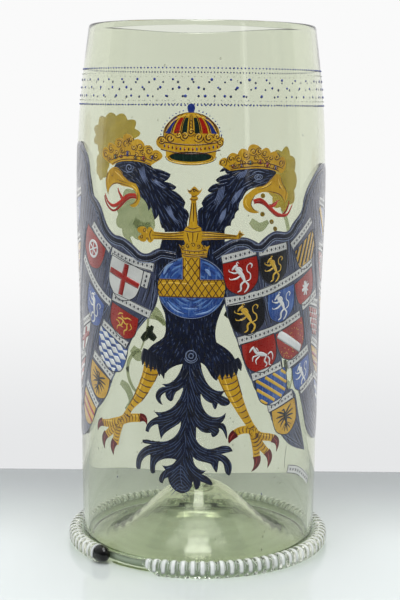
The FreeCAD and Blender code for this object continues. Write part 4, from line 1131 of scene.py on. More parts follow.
brown, light, red, blue, green, white = [], [], [], [], [], []
brown += [
    pull([(-51.6, 204.6), (-53, 201), (-52.6, 197), (-51.5, 194)], 0.36, 0.8, 0.5),
    pull([(-47.4, 207), (-43.8, 206.4), (-41.6, 204.2), (-38, 201.4), (-33.8, 199.8)], 0.4),
    pull([(-50.2, 197.2), (-47.0, 199.4), (-43.4, 199.6), (-39, 198.8), (-35.6, 197.6)], 0.42),
    pull([(-33.2, 196.8), (-32.2, 193.6), (-33.6, 190.6), (-36.8, 189.2)], 0.42),
    pull([(-45, 201.6), (-41.6, 200.6), (-37.6, 199.8)], 0.3),
    curl(-48.6, 203.6, 1.0, 0.3, 90, -1, 0.8),
    pull([(42.2, 203.6), (43, 200.6), (45.9, 196.4), (45, 191)], 0.36, 0.8, 0.5),
    pull([(38.6, 204.8), (35.6, 202.2), (32.4, 199.8), (27.4, 198.6)], 0.4),
    pull([(44.6, 191.6), (42.4, 194.4), (38.6, 195.9), (33.6, 196.8)], 0.42),
    pull([(27.2, 194.8), (25.2, 191), (26.4, 188), (29.4, 186.8)], 0.42),
    curl(42.2, 198.6, 1.1, 0.5, 60, 1, 1.0),
    pull([(36.6, 200.2), (32.4, 198.4), (28.6, 197.4)], 0.3),
]
# Painted highlights in light yellow down the beaks.
light += [
    pull([(-50.4, 204.4), (-51.4, 201), (-51.2, 198.4)], 0.8),
    pull([(-46.6, 205.4), (-43.8, 203.6), (-40.4, 201.2)], 0.7),
    pull([(-36, 199), (-33.2, 197), (-32.5, 194)], 0.5),
    pull([(40.6, 202.6), (41.4, 200), (44, 196.8)], 0.8),
    pull([(36.6, 201.4), (34, 199.4), (30, 198)], 0.6),
    pull([(22.6, 193.4), (22.4, 190.6), (24.6, 188)], 0.6),
]
LEFT_CROWN_CURLS = (
    (-53.4, 213.8, 1.7), (-49.6, 216.8, 1.7), (-45.6, 214.4, 1.5), (-44.2, 219.0, 1.7), (-39.8, 219.6, 1.7),
    (-36.6, 221.2, 1.6), (-41.8, 215.6, 1.3), (-34.8, 217.6, 1.5), (-31.2, 218.0, 1.6), (-29.6, 214.6, 1.3),
    (-26.4, 216.0, 1.6), (-22.6, 213.6, 1.6), (-50.4, 212.0, 1.3), (-33.6, 213.8, 1.1),
)
RIGHT_CROWN_CURLS = (
    (10.6, 211.0, 1.5), (14.6, 212.8, 1.5), (18.4, 212.6, 1.5), (22.4, 214.4, 1.6), (26.2, 216.2, 1.6),
    (29.4, 216.2, 1.5), (27.6, 213.2, 1.2), (32.4, 215.0, 1.5), (36.0, 213.0, 1.4), (39.8, 213.2, 1.5),
    (42.6, 210.4, 1.5), (21.0, 210.8, 1.2), (33.6, 212.0, 1.1), (17.0, 209.8, 1.1),
)
# Each scroll of the small crowns: a brown curl and arc, and a light yellow curl beside it as its painted
# highlight.
for index, (u, v, size) in enumerate(LEFT_CROWN_CURLS + RIGHT_CROWN_CURLS):
    turn = 1 if index % 2 else -1
    brown.append(curl(u, v, size, 0.6, 70 * index, turn, 1.2))
    brown.append(ring(u, v, size + 0.35, 0.4, 1.0, 70 * index + 160, 120 * turn))
    light.append(curl(u + 0.3, v + 0.35, size * 0.7, 0.36, 70 * index + 50, turn, 0.7))
for edge in (
        ((-48.4, 209.2), (-43, 211.2), (-37, 211.8), (-31, 211.4), (-25.4, 209.6)),
        ((-49.4, 210.9), (-43.2, 213.0), (-37, 213.6), (-31, 213.2), (-24.6, 211.2)),
        ((14.4, 207.7), (20, 208.5), (29, 208.9), (36, 208.1), (41, 206.4)),
        ((13.6, 209.3), (20, 210.2), (29, 210.7), (36.6, 209.9), (43.4, 207.8))):
    brown.append(even_pull(edge, 0.5))
stones = (
    (blue, -38.6, 214.5, 1.2), (red, -29.3, 212.4, 1.0), (green, -46.4, 212.7, 0.9),
    (blue, -24.6, 213.0, 0.8),
    (green, 24.6, 210.8, 0.9), (red, 30.0, 211.2, 1.0), (red, 34.0, 209.6, 1.2), (blue, 38.9, 208.2, 0.9),
    (green, -33.8, 212.6, 0.6), (red, -42.6, 213.0, 0.6), (blue, 20.0, 209.4, 0.6), (red, 15.6, 209.2, 0.6),
)
# Each stone: its colour, a brown ring and a painted white glint.
for pile, u, v, size in stones:
    pile.append(spot(u, v, size * 1.3, 0.8))
    brown.append(ring(u, v, size * 1.3 + 0.2, 0.4, 0.75))
    white.append(spot(u - 0.3, v + 0.3, 0.22))
paint("heads_gold_drawing", brown, line_brown)
paint("heads_gold_painted_highlights", light, line_light, ON_ENAMEL + 0.012)
paint("small_crown_stones_blue", blue, jewel_blue, ON_LINES)
paint("small_crown_stones_red", red, jewel_red, ON_LINES)
paint("small_crown_stones_green", green, jewel_green, ON_LINES)
paint("small_crown_painted_glints", white, line_white, ON_LINES + 0.03)


# The brushwork on the breast and thighs: short feather dashes that follow the body, a knot of
# rings where the tail begins, and pointed locks that hang in a fringe over the legs.
BREAST = (
    ((-13, 175), (-15, 150), (-12, 128)), ((-4.3, 175), (-4.3, 150), (-4.3, 118)),
    ((9, 175), (9, 150), (4, 128)),
    ((-11, 130), (-14, 123), (-22, 116.6), (-29.6, 111.4)), ((-9, 124), (-14, 114), (-19.6, 104.4)),
    ((-12, 126), (-18, 118), (-24.8, 109)),
    ((4, 130), (6, 123), (13, 115.6), (19.4, 107.6)), ((1, 124), (5, 114), (8.8, 103)),
    ((3, 126), (9, 117), (14.4, 105)),
)
black = comb("breast", BREAST, 1.7, 4.0, 0.85, 21)
dim = comb("breast", BREAST, 1.5, 3.2, 0.42, 22, patchy=0.25)
paint("breast_deep_dashes", black, line_black, ON_ENAMEL - 0.012)
paint("breast_dashes", dim, line_dim)
knot = [ring(-4.3, 114.6, 2.7, 0.5), ring(-4.3, 114.6, 1.2, 0.45),
        ring(-4.3, 114.6, 3.6, 0.35, 1.0, 200, 140)]
paint("breast_knot", knot, line_pale, ON_LINES)
night_line = enamel("night_line_enamel", (16, 20, 36), (5, 7, 16), (44, 54, 80))
fringe = []
for root, tip in (
        ((-28.6, 117), (-30.4, 108.4)), ((-27, 116.4), (-28, 107)), ((-25.2, 115.6), (-25.6, 105.4)),
        ((-23.6, 114.6), (-23.4, 106.2)), ((-22, 113.6), (-20.8, 103.6)), ((-20.4, 112), (-18.4, 102.4)),
        ((10.4, 110.5), (9.4, 103.6)), ((12.2, 110.5), (11.8, 102.2)), ((14.2, 110.8), (14.4, 103.4)),
        ((16, 111.2), (16.8, 102.6)), ((17.8, 111.8), (19.4, 104.4)), ((19, 113), (21.8, 106.6)),
        ((-6.6, 107.6), (-8.6, 102.4)), ((-2.6, 107.6), (-0.4, 102.8))):
    fringe.append(pull([root, ((root[0] + tip[0]) / 2, (root[1] + tip[1]) / 2 + 0.6), tip], 3.2, 0.8, 0.12))
paint("breast_fringe", fringe, night_line, ON_ENAMEL + 0.02)


# The brushwork on the tail: every frond carries fine pale lines side by side from the spine to
# its tip, with deep blue-black between them.
FRONDS = (
    ((-6.5, 109), (-7, 104), (-10, 99), (-15, 97.3), (-19.5, 95), (-21.6, 91.6), (-20, 89.4)),
    ((-9.4, 103), (-13.6, 100), (-19, 99.4)), ((-11, 98.4), (-13.8, 96), (-14.9, 92)),
    ((-6.2, 98), (-8, 92), (-11.6, 88), (-16, 85.6), (-23.2, 84.6)),
    ((-7, 92), (-11, 84.4), (-17.6, 80.8), (-24.4, 79.4), (-27.8, 74.6)),
    ((-7.4, 86), (-12, 80), (-17.6, 76.4), (-20, 71.6)),
    ((-7, 82), (-10, 75), (-15, 70.8), (-22, 69.2), (-30, 69.1)),
    ((-7.4, 78), (-12, 70), (-20, 66.6), (-28, 63.8), (-32, 59.4), (-32.8, 54.8)),
    ((-7.8, 72), (-13, 65.6), (-19.6, 62.8), (-23.6, 58.6), (-24, 53.6)),
    ((-8, 66), (-12, 60), (-18.8, 57.6)), ((-8, 63), (-13, 57.2), (-17.4, 55), (-19.6, 49)),
    ((-2.6, 111), (0, 103.6), (5, 98.4), (13, 96.8)), ((-3.4, 108), (0.4, 100), (6, 95), (14.8, 89.6)),
    ((-4, 104), (-0.6, 96.4), (5, 92), (8.2, 88)),
    ((-4.6, 98), (-1.6, 89), (3, 83.8), (9, 82.2), (13.6, 84.8)),
    ((-5, 94), (-1, 84), (4.4, 80), (11, 78.4), (14.4, 72.4)), ((-5, 89), (-1, 80), (4, 76.8), (8.5, 73.2)),
    ((-5.6, 82), (-3, 72.4), (2.6, 67), (10, 66.4), (17.4, 65.6)),
    ((-6, 77), (-2, 68), (4, 64.4), (11, 62.8), (15.6, 58), (16, 53.4)),
    ((-6.4, 74), (-2.6, 66), (2.6, 61.8), (8, 60), (9.2, 55.2)),
    ((-6.8, 67), (-4.2, 59), (-0.6, 55.8), (3.8, 55.4)), ((-7, 63), (-4, 56), (0.6, 52.2), (6.4, 48.8)),
    ((-7.2, 60), (-4.4, 54), (-1.2, 50.4), (0, 46.2)),
)
black = comb("tail", FRONDS, 1.3, 14.0, 0.75, 31)
dim = comb("tail", FRONDS, 1.12, 16.0, 0.42, 32, window=((-36, 54), (20, 112)))
paint("tail_deep_lines", black, line_black, ON_ENAMEL - 0.012)
lobe = []
for index in range(7):
    high = 58.0 - index * 1.9
    side = 5.9 - abs(index - 3.4) * 0.35
    lobe.append(pull([(-9.2 - side, high - 4.4), (-9.4, high), (-9.0 + side * 0.9, high - 5.0)],
                     0.4, 0.5, 0.4))
lobe += [pull([(-13.4, 48.6), (-10, 45.4), (-6, 45.2), (-3.8, 48.2)], 0.4),
         pull([(-11, 47.6), (-8, 46.6), (-5, 48)], 0.4)]
paint("tail_lines", dim + lobe, line_dim)


# The brushwork on the legs and the tongues: brown rings drawn across the gold shanks and toes, scales where
# the toes meet, painted shade in brown down the sides of the legs and painted highlights in light yellow down
# their middles, a painted highlight down each nail, and bright red over each tongue with a painted highlight
# on it.
def bands(guide, wide, pitch, width, bulge):
    """Curved lines across a limb; wide gives its half width at the start and the end."""
    path = smooth_path(guide, pitch)
    share = np.linspace(0.0, 1.0, len(path))
    way = np.gradient(path, axis=0)
    way /= np.linalg.norm(way, axis=1)[:, None]
    lines = []
    for place, toward, part in list(zip(path, way, share))[1:-1]:
        across = np.array([-toward[1], toward[0]]) * np.interp(part, [0, 1], wide)
        lines.append(pull([place + across, place + across * 0.4 + toward * bulge,
                           place - across * 0.4 + toward * bulge, place - across], width, 0.9, 0.35))
    return lines


brown = bands(((-25.4, 112), (-28.6, 101), (-34, 90.8), (-42.6, 80.4)), (5.6, 3.3), 3.5, 0.62, 1.2)
brown += bands(((14.6, 108), (17.2, 98), (22.4, 88.4), (29.8, 75.2)), (5.2, 2.7), 3.6, 0.62, 1.2)
for toe in (
        ((-45, 77), (-39.6, 79.8), (-35, 80.8), (-31, 81)),
        ((-46, 77), (-50, 76), (-55, 74.8), (-59.4, 74.7)),
        ((-46, 76.4), (-50.4, 72.6), (-55.2, 68.8)), ((-45, 76.6), (-46.8, 72), (-48.4, 66)),
        ((30, 74.6), (25, 76), (21, 75.4), (18.4, 73.8)),
        ((30, 74.6), (33.6, 71.8), (38, 70.8), (42.4, 69.3)),
        ((29.4, 73.6), (32.6, 69), (38.2, 62.6)), ((29.6, 73.4), (30.8, 68), (31.4, 61.4))):
    brown += bands(toe, (2.3, 1.9), 2.2, 0.5, 0.7)
chance = np.random.default_rng(41)
for u, v in ((-46, 76.5), (29.5, 74)):
    for _ in range(9):
        brown.append(ring(u + chance.uniform(-2.6, 2.6), v + chance.uniform(-2.4, 2.4), 0.8, 0.3,
                          1.0, chance.uniform(0, 360), 200))
# Painted shade: brown lines down the sides of each leg.
brown += [
    pull([(-20.4, 108.4), (-24.2, 99), (-31, 89.6), (-38.6, 80.6)], 0.5),
    pull([(-30.6, 103), (-36.4, 90.6), (-44, 80)], 0.4),
    pull([(18.8, 106.6), (22.4, 94.6), (27, 84), (31.6, 76)], 0.5),
    pull([(9.6, 103.6), (15.4, 92), (22, 81.8), (27.4, 75.6)], 0.4),
]
# Painted highlights in light yellow down the middle of each leg and along the toes.
light = [
    pull([(-27.6, 108), (-31.2, 98), (-37, 88)], 0.9, 0.4, 0.2),
    pull([(12.6, 104), (15.8, 95), (20.6, 86.4)], 0.9, 0.4, 0.2),
    pull([(-50, 76.8), (-57, 75.8)], 0.6), pull([(33, 72.8), (40, 71)], 0.6),
    pull([(-37, 81.4), (-32.6, 81.8)], 0.6),
]
paint("legs_painted_highlights", light, line_light)
paint("legs_bands_and_painted_shade", kept(brown, "leg_left", "leg_right"), line_brown, ON_ENAMEL + 0.012)
# A painted highlight down each nail.
nails = [
    pull([(-30.8, 81.8), (-29.0, 80.6), (-28.2, 78.6)], 0.5),
    pull([(-59.8, 75.4), (-62.2, 73.4), (-63.4, 70.6)], 0.5),
    pull([(-56, 68.8), (-57.2, 66), (-56.8, 62.4)], 0.5),
    pull([(-49.2, 66), (-50, 63.4), (-49.7, 60.4)], 0.5),
    pull([(18.6, 74.6), (17, 72.8), (16.2, 70.4)], 0.5),
    pull([(42.4, 69.6), (44.2, 67.4), (44.1, 63.8)], 0.5),
    pull([(38.4, 62.4), (39.2, 60), (38.5, 56)], 0.5), pull([(31.6, 60.6), (31.4, 58), (29.6, 55)], 0.5),
]
red_painted_highlight = enamel("nail_light_enamel", (150, 44, 36), (110, 20, 18), (196, 110, 96))
paint("nails_painted_highlights", nails, red_painted_highlight)
tongues = [
    pull([(-33.4, 194.2), (-38, 193.8), (-42.8, 190.4), (-47.6, 188.2), (-51.6, 190.2), (-53.6, 194)],
         2.0, 0.8, 0.3),
    pull([(-40.8, 191.6), (-43.6, 195), (-44.4, 197.4)], 1.3, 0.9, 0.3),
    pull([(26.4, 192.0), (30.6, 192.4), (35.6, 188.4), (41, 184.8), (46.8, 184.6), (50.4, 189.4)],
         2.0, 0.8, 0.3),
    pull([(35.4, 188.8), (38.6, 189.6), (40.6, 192)], 1.3, 0.9, 0.3),
]
tongue_red = enamel("tongue_red_enamel", (180, 34, 12), (132, 12, 4), (208, 80, 44))
paint("tongues_red", tongues, tongue_red)
# A painted highlight on each tongue.
tongue_painted_highlight = [
    pull([(-34.4, 194.9), (-38.4, 194.4), (-43, 191.2)], 0.4),
    pull([(27.4, 192.8), (31, 192.9), (35.4, 189.6)], 0.4),
]
paint("tongues_painted_highlight", tongue_painted_highlight, red_painted_highlight)


# The brushwork on the wings: grey-blue quills combed in long dark and pale lines, and a dark
# scalloped shoulder between pale contours.
def beside(points, distance):
    """A line at a distance to the left of another, as it runs."""
    path = smooth_path(points, 1.0)
    way = np.gradient(path, axis=0)
    way /= np.linalg.norm(way, axis=1)[:, None]
    return path + np.c_[-way[:, 1], way[:, 0]] * distance


def contour(points, distance, width):
    return pull(beside(points, distance)[::2], width, 0.6, 0.4, 1.0)


QUILLS_LEFT = (
    ((-22, 164), (-27, 142), (-42, 114), (-62, 84)), ((-36, 166), (-48, 140), (-60, 110), (-78, 72)),
    ((-52, 174), (-62, 148), (-76, 112), (-92, 66)), ((-66, 197), (-76, 160), (-90, 112), (-106, 74)),
    ((-82, 214), (-96, 170), (-108, 120), (-120, 88)), ((-104, 210), (-116, 170), (-124, 130), (-128, 104)),
)
QUILLS_RIGHT = (
    ((10, 166), (14, 138), (24, 112), (40, 80)), ((26, 170), (31, 140), (42, 108), (56, 76), (68, 59)),
    ((44, 174), (49, 145), (58, 110), (72, 78), (86, 65)), ((58, 188), (66, 150), (78, 112), (96, 74)),
    ((76, 205), (90, 165), (100, 120), (112, 86)), ((100, 204), (114, 165), (122, 130), (124, 104)),
)
SHOULDER_LEFT = (
    (-12, 167.4), (-20, 168.2), (-25.6, 165.7), (-30.4, 165.4), (-35.4, 169), (-41, 172.2), (-46.6, 173.2),
    (-50.4, 175.4), (-54, 179.8), (-56.8, 185.4), (-61, 190.4), (-64.6, 193.4), (-67.4, 201.3),
    (-69, 208.4), (-74, 214.6), (-82, 218.6),
)
SHOULDER_RIGHT = (
    (5.4, 167), (15, 173), (22.1, 174), (26.4, 172.6), (30, 170.8), (35.7, 175), (40, 176.4), (45.7, 175.8),
    (49.3, 176.9), (52.9, 181.2), (56.4, 184), (59.3, 190.4), (62.2, 196), (68, 201.8), (74.3, 206.1),
    (84, 208.8),
)
dark_quill = comb("wing_left", QUILLS_LEFT, 2.0, 26.0, 0.72, 51, 1.3, window=((-128, 60), (-14, 216)))
dark_quill += comb("wing_right", QUILLS_RIGHT, 2.0, 26.0, 0.72, 52, 1.3, window=((2, 60), (128, 208)))
pale_quill = comb("wing_left", QUILLS_LEFT, 2.3, 26.0, 0.34, 53, 1.3, window=((-128, 60), (-14, 216)))
pale_quill += comb("wing_right", QUILLS_RIGHT, 2.3, 26.0, 0.34, 54, 1.3, window=((2, 60), (128, 208)))
shoulder_dark = [contour(SHOULDER_LEFT, 2.6, 3.4), contour(SHOULDER_RIGHT, -2.6, 3.4)]
contours = [
    contour(SHOULDER_LEFT, 0.9, 0.42), contour(SHOULDER_LEFT, 4.5, 0.5), contour(SHOULDER_LEFT, 3.4, 0.24),
    contour(SHOULDER_RIGHT, -0.9, 0.42), contour(SHOULDER_RIGHT, -4.5, 0.5),
    contour(SHOULDER_RIGHT, -3.4, 0.24),
]
EDGES = (
    ((-21.6, 152), (-24.6, 136), (-31, 128.4), (-39.2, 115), (-46, 105), (-53.6, 91.4), (-63.8, 81.4),
     (-76, 67.4)),
    ((-50, 166), (-50.4, 141), (-59.6, 127), (-68.8, 109), (-78.4, 93), (-88, 72)),
    ((-71, 178), (-77.4, 160), (-84, 140), (-92, 118), (-100, 96), (-106, 76)),
    ((9.4, 160), (12.4, 142), (19.8, 121.6), (28.4, 100.6), (38.8, 84), (47.6, 70.8), (62.8, 61.2), (69, 59)),
    ((29.4, 169), (33.4, 145), (41.2, 126), (47, 108), (50, 96), (58, 88)),
    ((49, 171), (54, 152), (61, 134), (66, 116), (74, 100), (80, 88)),
    ((70, 176), (74, 158), (80, 140), (88, 118), (96, 98), (103, 80)),
)
for index, edge in enumerate(EDGES):
    side = 1 if index < 3 else -1
    wing = "wing_left" if index < 3 else "wing_right"
    contours += kept([contour(edge, -0.8 * side, 0.36), contour(edge, -2.1 * side, 0.3)], wing)
    shoulder_dark += kept([contour(edge, -1.45 * side, 0.7)], wing)
line_quill = enamel("quill_line_enamel", (112, 122, 146), (84, 94, 118), (146, 156, 176))
paint("wings_dark_quills", dark_quill, line_black, ON_ENAMEL - 0.012)
paint("wings_pale_quills", pale_quill, line_quill)
paint("wings_shoulders", shoulder_dark, night_line, ON_ENAMEL + 0.008)
paint("wings_contours", contours, line_pale, ON_LINES + 0.01)


# The brushwork on the orb and the cross: blue laid in round strokes, deep and pale, with painted highlights
# in sky blue, and gold crossed by a brown lattice and given painted highlights in light yellow, with a small
# coronet where the cross stands on the orb.
ORB_ARCS = [[(-4.5 + reach * math.cos(turn), 148.8 + 0.88 * reach * math.sin(turn))
             for turn in np.radians(np.linspace(10, 350, 24))] for reach in (5.0, 9.0, 12.5, 16.0)]
pale = comb("orb", ORB_ARCS, 1.9, 11.0, 1.0, 61, 0.8, patchy=0.3)
deep = comb("orb", ORB_ARCS, 2.4, 9.0, 1.3, 62, 0.8)
orb_light = enamel("orb_light_enamel", (84, 124, 182), (60, 98, 160), (140, 170, 208))
orb_deep = enamel("orb_deep_enamel", (28, 58, 124), (14, 34, 88), (60, 96, 156))
paint("orb_deep_strokes", deep, orb_deep, ON_ENAMEL - 0.012)
paint("orb_light_strokes", pale, orb_light)
# Painted highlights: pale sky-blue strokes on the orb's upper and lower sides.
sparks = [
    pull([(-18.4, 155.4), (-16.8, 158.8), (-13.6, 161.2)], 1.5, 0.4, 0.3),
    pull([(2.4, 158.4), (4.2, 156.8), (5.0, 155)], 1.7, 0.4, 0.3),
    pull([(-16.6, 141.6), (-13, 137.8), (-8, 135.8)], 0.9, 0.4, 0.3),
    pull([(-2, 135.6), (4, 137), (8.4, 140.4)], 0.9, 0.4, 0.3),
]
line_sky = enamel("sky_line_enamel", (134, 164, 210), (92, 126, 182), (178, 200, 230))
paint("orb_painted_highlights", sparks, line_sky, ON_LINES)
rim = [
    ring(-4.5, 148.8, 17.6, 0.45, 0.885, 24, 52), ring(-4.5, 148.8, 17.6, 0.45, 0.885, 104, 52),
    ring(-4.5, 148.8, 17.2, 0.3, 0.885, 196, 148),
]
paint("orb_contour", rim, line_pale, ON_LINES)

lattice = []
for index in range(-14, 15):
    middle = -4.4 + index * 3.5
    lattice.append(even_pull([(middle - 12, 136.6), (middle, 154), (middle + 12, 171.4)], 0.44))
    lattice.append(even_pull([(middle + 12, 136.6), (middle, 154), (middle - 12, 171.4)], 0.44))
lattice = kept(lattice, "orb_band")
lattice += [
    even_pull([(-21, 152.9), (-9, 152.9)], 0.4), even_pull([(0.2, 152.9), (12, 152.9)], 0.4),
    even_pull([(-21, 144.3), (-4, 144.3), (12, 144.3)], 0.45),
    even_pull([(-8.5, 164), (-8.5, 153)], 0.4), even_pull([(-0.3, 164), (-0.3, 153)], 0.4),
]
# Painted highlights in light yellow along the orb's band.
band_painted_highlights = kept([pull([(-20, 150.8), (-12, 151.2), (-4, 150.6)], 0.7), pull([(1, 150.8), (8, 151.2)], 0.6),
                    pull([(-6.8, 163), (-6.6, 156)], 0.7)], "orb_band")

CROSS_LINES = (
    ((-4.4, 191), (-5.4, 184), (-5.8, 180.4)), ((-2.6, 191), (-1.8, 184), (-1.6, 180.4)),
    ((-3.5, 191), (-3.6, 182)), ((-5.2, 193.2), (-3.5, 192.6), (-1.6, 193.2)),
    ((-5.0, 195), (-3.4, 194.2), (-2, 195)),
    ((-6.6, 198), (-5.4, 196.6), (-3.4, 198), (-1.2, 196.6), (0, 198)),
    ((-8.4, 175), (-16, 174.5), (-24.6, 174.8)), ((-8.2, 176.4), (-16, 175.6), (-23.4, 175.9)),
    ((-8.4, 173.4), (-16, 173.4), (-23.6, 173.2)),
    ((0.6, 175), (9, 174.8), (17.8, 174.4)), ((0.8, 176.4), (9, 175.7), (17.8, 174.9)),
    ((0.8, 173.4), (9, 173.7), (18, 173.4)),
    ((-7.4, 179.4), (-3.8, 178.4), (-0.4, 179.4)), ((-8, 177.4), (-3.8, 176.8), (0.2, 177.4)),
    ((-6.6, 176.4), (-5.6, 172)), ((-1.2, 176.4), (-2, 172)), ((-3.8, 176.6), (-3.8, 172)),
    ((-24.6, 177.4), (-25.8, 174.8), (-24.8, 172)), ((19, 177), (19.6, 175), (19, 173.4)),
)
brown = [pull(points, 0.46, 0.8, 0.6) for points in CROSS_LINES]
# Painted highlights in light yellow along the cross, its arms and its scrolls.
light = [
    pull([(-4.0, 190.6), (-4.4, 182)], 0.5), pull([(-10, 175.8), (-22, 175.4)], 0.45),
    pull([(2, 175.7), (16, 175)], 0.45),
    pull([(-7.2, 170.6), (-6.8, 166)], 0.5), pull([(-5, 198), (-3.6, 196.2)], 0.4),
    pull([(-28.6, 177), (-27, 175.6)], 0.6),
]
for index, (u, v, size) in enumerate((
        (-8.8, 169.2, 1.1), (-6.2, 169.8, 1.1), (-3.6, 170.4, 1.2), (-1.0, 169.8, 1.1), (1.8, 169.2, 1.1),
        (-28.4, 176.8, 1.1), (-30.4, 173.6, 1.1), (-27.2, 172.8, 0.9), (20.6, 176, 0.8),
        (-3.2, 197.0, 0.8))):
    brown.append(curl(u, v, size, 0.46, 80 * index, 1 if index % 2 else -1, 1.1))
    light.append(curl(u + 0.2, v + 0.3, size * 0.6, 0.34, 80 * index + 60, 1, 0.6))
for level in (167.6, 165.8, 164.8):
    brown.append(even_pull([(-9.2, level + 0.3), (-3, level - 0.3), (3.3, level + 0.3)], 0.42))
brown += [spot(u, 166.7, 0.45) for u in (-7.6, -5.4, -3, -0.8, 1.4)]
paint("cross_painted_highlights", light + band_painted_highlights, line_light, ON_ENAMEL + 0.006)
paint("cross_drawing", kept(brown, "cross") + lattice, line_brown, ON_LINES)


# The shields on the wings: each is outlined with a dark line and carries its charge, laid in
# thick enamel: lions, eagles, a horse, a figure, a leaf, wheels, crosses, bends, bars, checks
# and lozenges.
SHIELDS = (
    ("white", (-48.6, 164.2), (-29.2, 156.6), (-44.6, 140.8), "cross red"),
    ("red", (-49.6, 139.2), (-32.4, 132), (-44.4, 121.4), "figure gold"),
    ("blue", (-59.6, 126.2), (-39.4, 115.4), (-54.4, 104), "lozenges white"),
    ("gold", (-69.4, 106.6), (-52.4, 98), (-65.4, 87.6), "eagle black"),
    ("gold", (-79.6, 90.4), (-65.6, 80.8), (-79.4, 71.6), "bars red"),
    ("red", (-70.2, 177.6), (-53.4, 166.2), (-69.4, 156.2), "wheel white"),
    ("blue", (-70.6, 147.6), (-55.8, 136.6), (-69.6, 125.8), "lion white"),
    ("red", (10.9, 161.1), (29, 164.8), (22.4, 145.2), "lion white"),
    ("black", (30.8, 163.6), (47, 166.9), (40.4, 149.8), "lion gold"),
    ("gold", (53.6, 165.4), (69.4, 175.8), (67.6, 157), "rises black"),
    ("black", (14, 140.3), (32.8, 143.8), (26.8, 124.6), "lion gold"),
    ("blue", (35.8, 144.3), (53.8, 149), (46.6, 129.8), "lion white"),
    ("red", (54.4, 148.4), (70.6, 156.2), (67.4, 137.4), "leaf white"),
    ("red", (21.6, 119.8), (40.8, 124.6), (35.2, 105), "horse white"),
    ("red", (41.8, 123.8), (62.4, 131.2), (57.4, 109.8), "bend white"),
    ("blue", (29.9, 101), (49.2, 106.2), (43, 87.4), "bends gold"),
    ("blue", (55, 104.6), (71.4, 110.4), (66, 92), "lion white"),
    ("gold", (40.4, 83.8), (57.6, 89), (52.6, 70.6), "eagle black"),
)
FLANK_SHIELDS = (
    ("white", (-76.6, 123.6), 0.42, "cross red"), ("red", (-85.6, 103.4), 0.45, "bars white"),
    ("blue", (-94.6, 84.4), 0.45, "bend gold"), ("blue", (-87, 190), 0.22, "lion white"),
    ("gold", (-90, 165.4), 0.25, "bars red"), ("red", (-94.6, 142), 0.32, "eagle white"),
    ("white", (-100.8, 119.4), 0.4, "lion red"), ("black", (-108.6, 98), 0.42, "bends gold"),
    ("red", (-104.6, 188), 0.25, "wheel white"), ("black", (-108.6, 164), 0.3, "lion gold"),
    ("white", (-113.6, 141.4), 0.35, "lozenges blue"), ("gold", (-120, 120), 0.4, "eagle black"),
    ("blue", (-119.4, 170), 0.3, "leaf white"), ("red", (-125.6, 148.6), 0.3, "bars white"),
    ("white", (76.4, 134.2), -0.25, "checks red"), ("gold", (81, 112), -0.4, "bars red"),
    ("blue", (87, 92.4), -0.45, "bars white"), ("blue", (84.6, 186), -0.22, "bend gold"),
    ("red", (86.6, 162), -0.25, "lion white"), ("black", (92.4, 139.6), -0.32, "eagle gold"),
    ("red", (98.4, 118), -0.4, "cross white"), ("white", (105.6, 98.6), -0.42, "lion blue"),
    ("gold", (102.4, 184.4), -0.25, "bends black"), ("white", (105.6, 161), -0.3, "bars red"),
    ("blue", (111.4, 139), -0.35, "wheel white"), ("red", (118, 119.6), -0.4, "bend gold"),
    ("black", (118.4, 168), -0.3, "lion gold"), ("gold", (124, 147), -0.3, "eagle black"),
)
FLANK_WIDTH = 14.0
FLANK_DEPTH = 16.5
FRONT_SIZE = 18.0
FLANK_SIZE = 14.5
OUTLINE = ((-1, 0), (-1.02, 0.42), (-0.8, 0.78), (0, 1), (0.8, 0.78), (1.02, 0.42), (1, 0))
LION = (
    (((-0.3, 0.2), (-0.12, 0.33), (0.04, 0.47), (0.16, 0.66)), 2.9),
    (((-0.16, 0.13), (-0.34, 0.16), (-0.52, 0.24)), 1.6),
    (((-0.2, 0.2), (-0.04, 0.24), (0.06, 0.34)), 1.3), (((-0.16, 0.32), (-0.38, 0.34), (-0.62, 0.28)), 1.2),
    (((-0.62, 0.28), (-0.7, 0.24), (-0.66, 0.2)), 0.6), (((-0.06, 0.44), (-0.32, 0.5), (-0.6, 0.5)), 1.2),
    (((-0.6, 0.5), (-0.7, 0.47), (-0.7, 0.43)), 0.6),
    (((0.12, 0.62), (-0.1, 0.7), (-0.14, 0.84), (-0.34, 0.88)), 1.4),
    (((0.18, 0.64), (0.32, 0.76), (0.2, 0.88), (0.04, 0.93)), 1.4),
    (((0.2, 0.64), (0.46, 0.6), (0.5, 0.46), (0.34, 0.36), (0.36, 0.22), (0.54, 0.16)), 0.8),
    (((0.54, 0.16), (0.66, 0.22), (0.58, 0.3)), 0.9), (((-0.24, 0.1), (-0.16, 0.05), (-0.08, 0.1)), 0.6),
)
